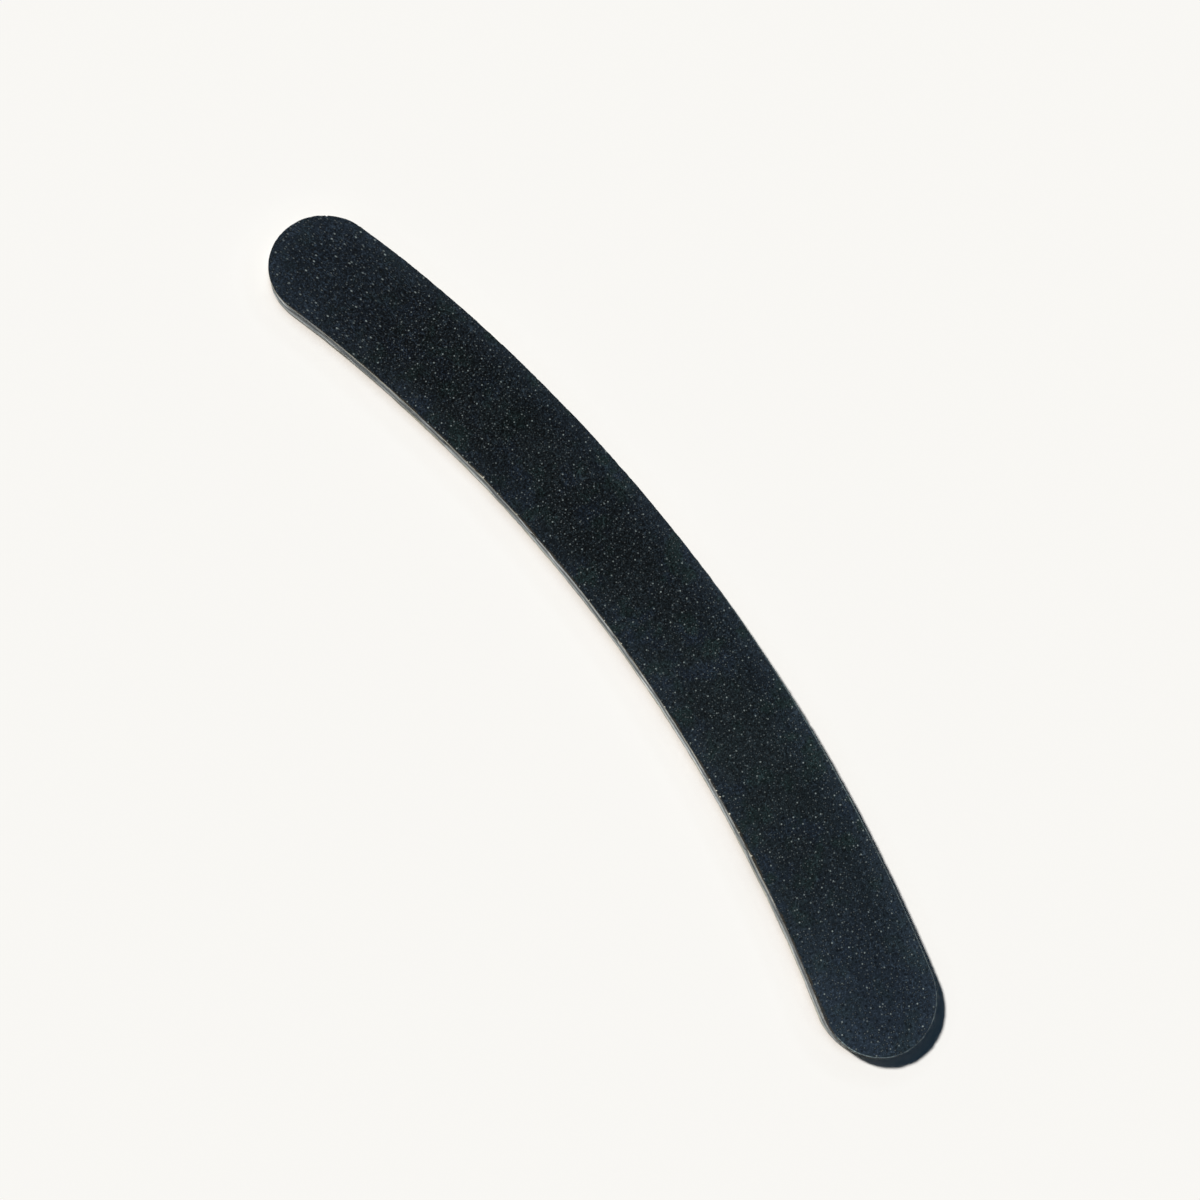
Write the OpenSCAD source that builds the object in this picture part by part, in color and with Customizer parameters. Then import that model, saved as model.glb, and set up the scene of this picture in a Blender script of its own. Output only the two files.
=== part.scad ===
// Curved emery board. Two sheets of abrasive paper are glued over foam pads on a stiff core,
// and the whole stack is die-cut in one stroke to a bent band with round ends.
// X runs along the chord, Y towards the convex edge and Z up through the stack.
// The origin is at the middle of the overall box, on the face that the board lies on.

/* [Outline] */
// Overall length from end to end, along the chord
board_length = 178; // [100:1:230]
// Width of the band, and the diameter of its round ends
board_width = 20; // [12:0.5:30]
// Radius of the bend, at the middle of the band's width
bend_radius = 280; // [150:5:600]

/* [Abrasive sheets] */
// Thickness of the abrasive grains in their size coat
grit_thickness = 0.14; // [0.05:0.01:0.4]
// Thickness of the resin coat that holds the grains to the paper
bond_thickness = 0.06; // [0.03:0.01:0.15]
// Thickness of the waterproof backing paper
paper_thickness = 0.2; // [0.08:0.01:0.4]
// Thickness of the adhesive film between a paper and its foam pad
film_thickness = 0.1; // [0.05:0.01:0.25]

/* [Foam pads and core] */
// Thickness of each foam pad
foam_thickness = 1.1; // [0.4:0.05:3]
// How far the cut edge of the foam springs back behind the papers
foam_recess = 0.06; // [0:0.01:0.3]
// Thickness of the adhesive film between a foam pad and the core
core_film_thickness = 0.05; // [0.03:0.01:0.2]
// Thickness of the stiff plastic core
core_thickness = 0.6; // [0.3:0.05:2]

/* [Hidden] */

// The centreline is an arc. Its ends are the centres of the round ends.
half_chord = (board_length - board_width) / 2;
half_angle = asin(half_chord / bend_radius);
arc_rise = bend_radius * (1 - cos(half_angle));

// The bend's centre, placed so that the overall box is centred on the origin.
crown_y = arc_rise / 2;
bend_centre_y = crown_y - bend_radius;

// Heights of the layers' lower faces, counted up from the face that the board lies on.
bottom_bond_z = grit_thickness;
bottom_paper_z = bottom_bond_z + bond_thickness;
bottom_film_z = bottom_paper_z + paper_thickness;
bottom_foam_z = bottom_film_z + film_thickness;
bottom_core_film_z = bottom_foam_z + foam_thickness;
core_z = bottom_core_film_z + core_film_thickness;
top_core_film_z = core_z + core_thickness;
top_foam_z = top_core_film_z + core_film_thickness;
top_film_z = top_foam_z + foam_thickness;
top_paper_z = top_film_z + film_thickness;
top_bond_z = top_paper_z + paper_thickness;
top_grit_z = top_bond_z + bond_thickness;

// Facets of a full circle at the bend's radius and at a round end.
bend_facets = 720;
end_facets = 96;

// One layer of the stack: a bent band with round ends, drawn in by recess all the way round.
module layer(height, thickness, recess = 0) {
    half_width = board_width / 2 - recess;
    translate([0, bend_centre_y, height])
        union() {
            rotate([0, 0, 90 - half_angle])
                rotate_extrude(angle = 2 * half_angle, $fn = bend_facets)
                    translate([bend_radius - half_width, 0])
                        square([2 * half_width, thickness]);
            for (side = [-1, 1])
                rotate([0, 0, 90 + side * half_angle])
                    translate([bend_radius, 0, 0])
                        cylinder(h = thickness, r = half_width, $fn = end_facets);
        }
}

module bottom_grit_layer() {
    color([0.13, 0.16, 0.19]) layer(0, grit_thickness);
}

module bottom_bond_coat() {
    color([0.1, 0.11, 0.12]) layer(bottom_bond_z, bond_thickness);
}

module bottom_backing_paper() {
    color([0.24, 0.21, 0.18]) layer(bottom_paper_z, paper_thickness);
}

module bottom_adhesive_film() {
    color([0.78, 0.77, 0.7]) layer(bottom_film_z, film_thickness);
}

module bottom_foam_pad() {
    color([0.66, 0.69, 0.69]) layer(bottom_foam_z, foam_thickness, foam_recess);
}

module bottom_core_film() {
    color([0.6, 0.6, 0.56]) layer(bottom_core_film_z, core_film_thickness);
}

module core_board() {
    color([0.38, 0.4, 0.41]) layer(core_z, core_thickness);
}

module top_core_film() {
    color([0.6, 0.6, 0.56]) layer(top_core_film_z, core_film_thickness);
}

module top_foam_pad() {
    color([0.66, 0.69, 0.69]) layer(top_foam_z, foam_thickness, foam_recess);
}

module top_adhesive_film() {
    color([0.78, 0.77, 0.7]) layer(top_film_z, film_thickness);
}

module top_backing_paper() {
    color([0.24, 0.21, 0.18]) layer(top_paper_z, paper_thickness);
}

module top_bond_coat() {
    color([0.1, 0.11, 0.12]) layer(top_bond_z, bond_thickness);
}

module top_grit_layer() {
    color([0.13, 0.16, 0.19]) layer(top_grit_z, grit_thickness);
}

bottom_grit_layer();
bottom_bond_coat();
bottom_backing_paper();
bottom_adhesive_film();
bottom_foam_pad();
bottom_core_film();
core_board();
top_core_film();
top_foam_pad();
top_adhesive_film();
top_backing_paper();
top_bond_coat();
top_grit_layer();
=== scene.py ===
"""Curved emery board: two abrasive sheets on foam pads over a stiff core, die-cut to a bent band.

The pieces are built as closed meshes in strip coordinates, which are the distance along the band,
the distance across it and the height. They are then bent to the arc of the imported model. All sizes
are in metres.
"""

import logging
import math
from abc import ABC, abstractmethod
from dataclasses import dataclass, field
from enum import Enum
from typing import NamedTuple

import bpy
import numpy as np
from mathutils import Matrix, Vector
from mathutils.geometry import delaunay_2d_cdt


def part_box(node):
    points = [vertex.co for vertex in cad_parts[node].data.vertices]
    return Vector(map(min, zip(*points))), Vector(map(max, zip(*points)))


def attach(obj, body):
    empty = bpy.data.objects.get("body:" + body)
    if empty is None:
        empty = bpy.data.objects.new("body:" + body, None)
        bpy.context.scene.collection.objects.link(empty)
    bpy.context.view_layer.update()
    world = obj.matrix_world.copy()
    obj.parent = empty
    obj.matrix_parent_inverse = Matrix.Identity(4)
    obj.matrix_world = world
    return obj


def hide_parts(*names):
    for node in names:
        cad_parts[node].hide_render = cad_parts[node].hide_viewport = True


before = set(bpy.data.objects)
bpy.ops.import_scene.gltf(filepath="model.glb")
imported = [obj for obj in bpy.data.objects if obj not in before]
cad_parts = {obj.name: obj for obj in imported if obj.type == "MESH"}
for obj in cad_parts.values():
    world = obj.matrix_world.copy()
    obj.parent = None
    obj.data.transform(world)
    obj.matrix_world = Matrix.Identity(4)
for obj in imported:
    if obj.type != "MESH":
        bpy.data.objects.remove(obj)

MM = 0.001
BAKE_MAP = "OFBake"
BODY = "root"
CORE_SPAN = (1.5 * MM, 2.5 * MM)
FLAT_INSET = 1.0 * MM
NOISE_MIDDLE = 0.5
TINY = 1e-9
# What the triangulation keeps, and how near to each other, in millimetres, it joins two points
INSIDE_RING = 1
JOINING_REACH = 1e-5

Colour = tuple[float, float, float]
Socket = bpy.types.NodeSocket
Sockets = bpy.types.bpy_prop_collection
Value = float | tuple[float, ...] | Socket

log = logging.getLogger("emery_board")


class Side(Enum):
    """The two faces of the board. The value is the direction from the core to the face."""

    TOP = 1
    BOTTOM = -1

    @property
    def prefix(self) -> str:
        """What the names of the side's pieces start with."""
        return self.name.lower() + "_"


class Edge(Enum):
    """The two long edges of the band. The value is the sign of the distance across it."""

    CONVEX = 1
    CONCAVE = -1


class Part(Enum):
    """Where a face lies on its piece, for the bake map."""

    UPPER = 0
    LOWER = 1
    RIM = 2


class Wear(Enum):
    """Kinds of small damage that the cutting die and use leave on the rim."""

    CHIP = "a bite out of the abrasive sheet"
    BURR = "a place where the paper and the film stand out"
    DENT = "a pinch in the foam and the core"


class Detail(Enum):
    """How many finer layers a noise pattern has."""

    PLAIN = 0.0
    SOFT = 1.0
    EVEN = 2.0
    FINE = 3.0


class Fade(NamedTuple):
    """A smooth change from a start to an end value, between a low and a high point."""

    low: float
    high: float
    start: float = 0.0
    end: float = 1.0


class Wave(NamedTuple):
    """A random wave round the rim: its shortest swing and its standard deviation."""

    wavelength: float
    amount: float


class Bites(NamedTuple):
    """Small random bites round the rim: their mean spacing, width and depth."""

    spacing: float
    width: float
    depth: float


class Trim(NamedTuple):
    """Where a layer's border is cut: its inset, and the share of each damage that reaches it."""

    inset: float
    crumbs: float = 0.0
    chips: float = 0.0
    burrs: float = 0.0


class Dots(NamedTuple):
    """Scattered dots: how dense, how wide in their cells, the share that is lit, and how few fully."""

    scale: float
    radius: float
    share: float
    rarity: float


class Patches(NamedTuple):
    """Soft patches: how dense, and the noise levels where they begin and where they are full."""

    scale: float
    low: float
    high: float


class Threads(NamedTuple):
    """Thin curved lines: how dense, how bright, and the noise level below which they break off."""

    scale: float
    gain: float
    gaps: float


class Streaks(NamedTuple):
    """Long slanting streaks: how dense, how far they sink, and how far they are drawn out."""

    scale: float
    slope: float
    reach: float


@dataclass(frozen=True)
class Outline:
    """The bent band with round ends that every layer is cut to."""

    length: float = 178 * MM
    width: float = 20 * MM
    bend_radius: float = 280 * MM
    rim_points: int = 1920

    @property
    def half_width(self) -> float:
        """Half the band's width, which is also the radius of its ends."""
        return self.width / 2

    @property
    def half_angle(self) -> float:
        """Half the angle of the bend between the centres of the round ends."""
        return math.asin((self.length - self.width) / 2 / self.bend_radius)

    @property
    def bend_centre_y(self) -> float:
        """The bend's centre, placed so that the overall box is centred on the origin."""
        rise = self.bend_radius * (1 - math.cos(self.half_angle))
        return rise / 2 - self.bend_radius

    @property
    def straight(self) -> float:
        """Distance along the band from its middle to the centre of a round end."""
        return self.bend_radius * self.half_angle

    @property
    def perimeter(self) -> float:
        """Length of the rim, measured with the band bent straight."""
        return 4 * self.straight + 2 * math.pi * self.half_width

    def rim(self, inset: np.ndarray | float = 0.0) -> np.ndarray:
        """Finds the rim's points, an inset inside the outline, from the left tip over the convex edge."""
        place = np.arange(self.rim_points) / self.rim_points * self.perimeter
        return self.rim_at(place, inset)

    def rim_at(self, place: np.ndarray, inset: np.ndarray | float = 0.0) -> np.ndarray:
        """Finds points of the rim at given distances round it.

        Args:
            place: distances round the rim from the left tip.
            inset: how far each point lies inside the outline.

        Returns:
            An array of rows with the distances along and across the band.
        """
        quarter = math.pi / 2 * self.half_width
        side = 2 * self.straight
        radius = self.half_width - inset
        left = np.where(place < self.perimeter / 2, place, place - self.perimeter) / self.half_width
        right = (place - self.perimeter / 2) / self.half_width
        on_convex = (place >= quarter) & (place <= quarter + side)
        on_concave = (place >= 3 * quarter + side) & (place <= 3 * quarter + 2 * side)
        at_right = (place > quarter + side) & (place < 3 * quarter + side)
        along = -self.straight - radius * np.cos(left)
        across = radius * np.sin(left)
        along = np.where(at_right, self.straight + radius * np.cos(right), along)
        across = np.where(at_right, -radius * np.sin(right), across)
        along = np.where(on_convex, place - quarter - self.straight, along)
        across = np.where(on_convex, radius, across)
        along = np.where(on_concave, 3 * quarter + side + self.straight - place, along)
        across = np.where(on_concave, -radius, across)
        return np.column_stack([along, across])

    def place_of(self, along: float, edge: Edge) -> float:
        """Finds how far round the rim a point of a long edge or of a round end lies.

        Args:
            along: distance along the band from its middle.
            edge: the edge that the point is on, or nearer to.

        Returns:
            The distance round the rim from the left tip, in metres.
        """
        quarter = math.pi / 2 * self.half_width
        reach = (abs(along) - self.straight) / self.half_width
        if reach > 0:
            bend = math.asin(min(reach, 1.0)) * self.half_width
            convex = quarter - bend if along < 0 else quarter + 2 * self.straight + bend
        else:
            convex = quarter + self.straight + along
        return convex if edge is Edge.CONVEX else self.perimeter - convex

    def inset_of(self, strip: np.ndarray) -> np.ndarray:
        """Finds how far points in strip coordinates lie inside the outline."""
        beyond = np.maximum(np.abs(strip[:, 0]) - self.straight, 0)
        return self.half_width - np.hypot(beyond, strip[:, 1])

    def bend(self, strip: np.ndarray) -> np.ndarray:
        """Bends points in strip coordinates to the arc of the band.

        Args:
            strip: rows with the distance along, the distance across and the height.

        Returns:
            Rows with x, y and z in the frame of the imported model.
        """
        held = np.clip(strip[:, 0], -self.straight, self.straight)
        beyond = strip[:, 0] - held
        angle = held / self.bend_radius
        radius = self.bend_radius + strip[:, 1]
        x = radius * np.sin(angle) + beyond * np.cos(angle)
        y = self.bend_centre_y + radius * np.cos(angle) - beyond * np.sin(angle)
        return np.column_stack([x, y, strip[:, 2]])


@dataclass
class Shape:
    """A mesh in strip coordinates, with what its bake map needs."""

    strip: list[np.ndarray] = field(default_factory=list)
    place: list[np.ndarray] = field(default_factory=list)
    faces: list[np.ndarray] = field(default_factory=list)
    parts: list[np.ndarray] = field(default_factory=list)
    count: int = 0

    def points(self, strip: np.ndarray, place: np.ndarray | None = None) -> np.ndarray:
        """Adds points and returns their numbers.

        Args:
            strip: rows with the distance along, the distance across and the height.
            place: distances round the rim, for points on it.

        Returns:
            The new points' numbers in the mesh.
        """
        numbers = np.arange(self.count, self.count + len(strip))
        self.strip.append(strip)
        self.place.append(np.zeros(len(strip)) if place is None else place)
        self.count += len(strip)
        return numbers

    def add(self, faces: np.ndarray, part: Part) -> None:
        """Adds faces on one part of the piece.

        Args:
            faces: rows of three or four point numbers.
            part: where the faces lie.
        """
        if faces.shape[1] == 3:
            faces = np.column_stack([faces, np.full(len(faces), -1)])
        self.faces.append(faces)
        self.parts.append(np.full(len(faces), part.value))

    def wall(self, lower: np.ndarray, upper: np.ndarray, part: Part = Part.RIM) -> None:
        """Joins two closed rings of points by a band of faces that looks outward."""
        lower_next, upper_next = np.roll(lower, -1), np.roll(upper, -1)
        self.add(np.column_stack([lower, upper, upper_next, lower_next]), part)

    def ladder(self, ring: np.ndarray, part: Part) -> None:
        """Closes a ring by faces that run straight across the band.

        Args:
            ring: point numbers round the rim, from the left tip over the convex edge.
            part: where the faces lie, and so whether they look up or down.
        """
        half = len(ring) // 2
        over = ring[1:half]
        back = ring[:half:-1]
        rungs = np.column_stack([over[:-1], back[:-1], back[1:], over[1:]])
        tips = np.array([[ring[0], back[0], over[0]], [ring[half], over[-1], back[-1]]])
        if part is Part.LOWER:
            rungs, tips = rungs[:, ::-1], tips[:, ::-1]
        self.add(rungs, part)
        self.add(tips, part)


@dataclass(frozen=True)
class BakeMap:
    """Lays a piece's faces out in rows on a square, so that its patterns can be baked evenly."""

    side: float = 104 * MM
    gap: float = 1.0 * MM

    def place(self, shape: Shape, outline: Outline, faces: np.ndarray, parts: np.ndarray) -> np.ndarray:
        """Works out the map's place for each corner of each face.

        Args:
            shape: the mesh in strip coordinates.
            outline: the band that the mesh was cut to.
            faces: rows of four point numbers, with -1 for a missing fourth.
            parts: where each face lies on the piece.

        Returns:
            An array with two numbers for each of the four corners of each face.
        """
        strip = np.concatenate(shape.strip)
        place = np.concatenate(shape.place)
        corners = np.where(faces < 0, faces[:, :1], faces)
        on_rim = (parts == Part.RIM.value)[:, None]
        round_rim = place[corners]
        first = round_rim[:, :1]
        half = outline.perimeter / 2
        round_rim = first + (round_rim - first + half) % outline.perimeter - half
        low = strip[:, 2].min()
        tall = strip[:, 2].max() - low
        across = np.where(on_rim, strip[corners, 2] - low, strip[corners, 1] + outline.half_width)
        along = np.where(on_rim, round_rim, strip[corners, 0] + outline.length / 2 + self.gap)
        usable = self.side - 2 * self.gap
        row = np.floor(along.mean(1, keepdims=True) / usable)
        flat_rows = math.ceil((outline.length + 2 * self.gap) / usable)
        flat_height = outline.width + self.gap
        flat_row = row + np.where(parts == Part.LOWER.value, flat_rows, 0)[:, None]
        up_flat = flat_row * flat_height
        up_rim = 2 * flat_rows * flat_height + row * (tall + self.gap)
        sideways = along - row * usable + self.gap
        upward = across + np.where(on_rim, up_rim, up_flat) + self.gap / 2
        return np.stack([sideways, upward], axis=-1) / self.side


class Mould:
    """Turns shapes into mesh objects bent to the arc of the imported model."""

    def __init__(self, outline: Outline) -> None:
        """Keeps the outline that every piece is bent to."""
        self.outline = outline
        self.bake_map = BakeMap()

    def cast(
        self, name: str, shape: Shape, material: bpy.types.Material, smooth: bool
    ) -> bpy.types.Object:
        """Makes one piece of a shape.

        Args:
            name: the piece's name.
            shape: its mesh in strip coordinates.
            material: its finish.
            smooth: whether its faces are shaded smoothly.

        Returns:
            The new object, linked to the scene.
        """
        places = self.outline.bend(np.concatenate(shape.strip))
        faces = np.concatenate(shape.faces)
        parts = np.concatenate(shape.parts)
        present = faces >= 0
        totals = present.sum(1)
        mesh = bpy.data.meshes.new(name)
        mesh.vertices.add(len(places))
        mesh.vertices.foreach_set("co", places.astype(np.float32).ravel())
        mesh.loops.add(int(totals.sum()))
        mesh.loops.foreach_set("vertex_index", faces[present].astype(np.int32))
        mesh.polygons.add(len(faces))
        starts = np.concatenate([[0], np.cumsum(totals)[:-1]])
        mesh.polygons.foreach_set("loop_start", starts.astype(np.int32))
        mesh.polygons.foreach_set("loop_total", totals.astype(np.int32))
        mesh.polygons.foreach_set("use_smooth", np.full(len(faces), smooth))
        mesh.update(calc_edges=True)
        layout = mesh.uv_layers.new(name=BAKE_MAP)
        corners = self.bake_map.place(shape, self.outline, faces, parts)[present]
        layout.data.foreach_set("uv", corners.astype(np.float32).ravel())
        mesh.validate()
        mesh.materials.append(material)
        piece = bpy.data.objects.new(name, mesh)
        bpy.context.scene.collection.objects.link(piece)
        return piece


@dataclass(frozen=True)
class Mark:
    """One small damage on the rim."""

    along: float
    edge: Edge
    wear: Wear
    width: float
    depth: float
    side: Side = Side.TOP


MARKS = (
    Mark(-33.0 * MM, Edge.CONCAVE, Wear.CHIP, 1.3 * MM, 0.34 * MM),
    Mark(-34.8 * MM, Edge.CONCAVE, Wear.CHIP, 0.6 * MM, 0.20 * MM),
    Mark(-23.5 * MM, Edge.CONCAVE, Wear.CHIP, 0.9 * MM, 0.16 * MM),
    Mark(49.8 * MM, Edge.CONCAVE, Wear.CHIP, 1.1 * MM, 0.26 * MM),
    Mark(58.0 * MM, Edge.CONCAVE, Wear.CHIP, 5.0 * MM, 0.10 * MM),
    Mark(-86.2 * MM, Edge.CONVEX, Wear.CHIP, 0.3 * MM, 0.22 * MM),
    Mark(33.0 * MM, Edge.CONVEX, Wear.CHIP, 0.6 * MM, 0.14 * MM),
    Mark(6.6 * MM, Edge.CONCAVE, Wear.BURR, 0.6 * MM, 0.18 * MM),
    Mark(38.7 * MM, Edge.CONCAVE, Wear.BURR, 0.7 * MM, 0.16 * MM),
    Mark(42.1 * MM, Edge.CONCAVE, Wear.BURR, 0.5 * MM, 0.18 * MM),
    Mark(26.5 * MM, Edge.CONVEX, Wear.BURR, 0.3 * MM, 0.10 * MM),
    Mark(-41.8 * MM, Edge.CONCAVE, Wear.DENT, 1.3 * MM, 0.55 * MM),
    Mark(-18.5 * MM, Edge.CONCAVE, Wear.DENT, 1.0 * MM, 0.55 * MM),
    Mark(5.4 * MM, Edge.CONCAVE, Wear.DENT, 1.2 * MM, 0.40 * MM),
    Mark(49.5 * MM, Edge.CONCAVE, Wear.DENT, 0.9 * MM, 0.50 * MM),
)


@dataclass(frozen=True)
class Swell:
    """A long stretch of the rim where the cut runs a little outside the true band."""

    along: float
    edge: Edge
    width: float
    amount: float


SWELLS = (
    Swell(-68 * MM, Edge.CONVEX, 30 * MM, 0.17 * MM),
    Swell(33 * MM, Edge.CONVEX, 42 * MM, 0.14 * MM),
    Swell(-48 * MM, Edge.CONVEX, 16 * MM, 0.07 * MM),
    Swell(10 * MM, Edge.CONVEX, 18 * MM, 0.07 * MM),
    Swell(-74 * MM, Edge.CONCAVE, 12 * MM, -0.08 * MM),
    Swell(12 * MM, Edge.CONCAVE, 6 * MM, 0.07 * MM),
    Swell(51 * MM, Edge.CONCAVE, 10 * MM, 0.09 * MM),
    Swell(78 * MM, Edge.CONCAVE, 10 * MM, 0.07 * MM),
    Swell(-45 * MM, Edge.CONCAVE, 18 * MM, 0.09 * MM),
    Swell(-18 * MM, Edge.CONCAVE, 10 * MM, 0.06 * MM),
    Swell(64 * MM, Edge.CONCAVE, 34 * MM, 0.06 * MM),
)


@dataclass(frozen=True)
class Seam:
    """A height in the stack round which the borders of the layers wander together."""

    height: float
    wavelength: float
    amount: float
    squeeze: float = 0.0


SEAMS = (
    Seam(0.33 * MM, 4 * MM, 0.020 * MM),
    Seam(0.50 * MM, 3 * MM, 0.008 * MM, 0.05 * MM),
    Seam(1.62 * MM, 3 * MM, 0.045 * MM),
    Seam(2.28 * MM, 4 * MM, 0.045 * MM),
    Seam(3.40 * MM, 3 * MM, 0.008 * MM, -0.09 * MM),
    Seam(3.57 * MM, 4 * MM, 0.022 * MM),
)


@dataclass(frozen=True)
class Shred:
    """A curled shred of torn paper on the rim. Its reach is how far it lies over the face."""

    along: float
    edge: Edge
    width: float
    reach: float


SHREDS = (
    Shred(-36.4 * MM, Edge.CONCAVE, 0.40 * MM, 0.12 * MM),
    Shred(-32.4 * MM, Edge.CONCAVE, 0.50 * MM, 0.30 * MM),
    Shred(-28.3 * MM, Edge.CONCAVE, 0.36 * MM, 0.08 * MM),
    Shred(-23.2 * MM, Edge.CONCAVE, 0.40 * MM, 0.12 * MM),
    Shred(-2.8 * MM, Edge.CONCAVE, 0.34 * MM, 0.10 * MM),
    Shred(1.7 * MM, Edge.CONCAVE, 0.36 * MM, 0.16 * MM),
    Shred(6.7 * MM, Edge.CONCAVE, 0.50 * MM, 0.14 * MM),
    Shred(20.4 * MM, Edge.CONCAVE, 0.60 * MM, 0.10 * MM),
    Shred(35.4 * MM, Edge.CONCAVE, 0.42 * MM, 0.14 * MM),
    Shred(37.5 * MM, Edge.CONCAVE, 0.40 * MM, 0.22 * MM),
    Shred(38.8 * MM, Edge.CONCAVE, 0.44 * MM, 0.26 * MM),
    Shred(42.2 * MM, Edge.CONCAVE, 0.50 * MM, 0.26 * MM),
    Shred(45.8 * MM, Edge.CONCAVE, 0.36 * MM, 0.14 * MM),
    Shred(50.2 * MM, Edge.CONCAVE, 0.40 * MM, 0.24 * MM),
    Shred(26.5 * MM, Edge.CONVEX, 0.34 * MM, 0.10 * MM),
)


class Rim:
    """The cut edge that all layers share: where it wanders, and where it is damaged."""

    LONG_WAVE = Wave(9 * MM, 0.012 * MM)
    CORE_SWAY = Wave(16 * MM, 0.16 * MM)
    BITE_WIDTHS = (0.5, 1.6)

    def __init__(self, outline: Outline, seed: int) -> None:
        """Seeds the rim's random draws.

        Args:
            outline: the band that the layers are cut to.
            seed: start of the random draws.
        """
        self.outline = outline
        self.draw = np.random.default_rng(seed)
        self.spacing = outline.perimeter / outline.rim_points
        self.place = np.arange(outline.rim_points) * self.spacing
        self.swell = self.wander(*self.LONG_WAVE)
        for swell in SWELLS:
            place = outline.place_of(swell.along, swell.edge)
            self.swell += swell.amount * self.dab(place, swell.width)
        sway = self.wander(*self.CORE_SWAY)
        self.waves = {seam: self.wander(seam.wavelength, seam.amount) for seam in SEAMS}
        for seam in SEAMS:
            if seam.squeeze:
                self.waves[seam] += np.abs(self.wander(seam.wavelength, 1.0)) * seam.squeeze
            elif CORE_SPAN[0] < seam.height < CORE_SPAN[1]:
                self.waves[seam] += sway

    def border(self, height: float) -> np.ndarray:
        """Finds the wandering height of the border between two layers at the rim."""
        nearest = min(SEAMS, key=lambda seam: abs(seam.height - height))
        return height + self.waves[nearest]

    def wander(self, wavelength: float, amount: float) -> np.ndarray:
        """Draws a random wave round the rim that closes on itself.

        Args:
            wavelength: the shortest swing that stays in the wave.
            amount: its standard deviation.

        Returns:
            One value for each rim point.
        """
        count = self.outline.rim_points
        noise = self.draw.standard_normal(count)
        turns = np.fft.rfftfreq(count, self.spacing)
        damping = np.exp(-((turns * wavelength) ** 2))
        kept = np.fft.irfft(np.fft.rfft(noise) * damping, count)
        return kept / kept.std() * amount

    def dab(self, place: float, width: float) -> np.ndarray:
        """Makes a smooth hump of height 1 on the rim.

        Args:
            place: distance round the rim from the left tip to the hump.
            width: the hump's width.

        Returns:
            The height at each rim point.
        """
        half = self.outline.perimeter / 2
        away = (self.place - place + half) % self.outline.perimeter - half
        return np.exp(-((away / (width / 2)) ** 2))

    def damage(self, wear: Wear, side: Side) -> np.ndarray:
        """Adds up the named marks of one kind.

        Args:
            wear: the kind of damage.
            side: the sheet that it is on.

        Returns:
            The depth of the damage at each rim point.
        """
        total = np.zeros(self.outline.rim_points)
        for mark in MARKS:
            if mark.wear is wear and mark.side is side:
                place = self.outline.place_of(mark.along, mark.edge)
                total += mark.depth * self.dab(place, mark.width)
        return total

    def nibbles(self, spacing: float, width: float, depth: float) -> np.ndarray:
        """Draws small random bites all round the rim.

        Args:
            spacing: mean distance between bites.
            width: mean width of a bite.
            depth: mean depth of a bite.

        Returns:
            The depth of the bites at each rim point.
        """
        total = np.zeros(self.outline.rim_points)
        for _ in range(round(self.outline.perimeter / spacing)):
            place = self.draw.uniform(0, self.outline.perimeter)
            wide = width * self.draw.uniform(*self.BITE_WIDTHS)
            total = np.maximum(total, self.draw.exponential(depth) * self.dab(place, wide))
        return total

    def line(self, inset: np.ndarray | float, height: np.ndarray | float) -> np.ndarray:
        """Places a closed line round the rim, an inset inside the cut and at a height."""
        flat = self.outline.rim(inset - self.swell)
        return np.column_stack([flat, np.broadcast_to(height, len(flat))])


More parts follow.
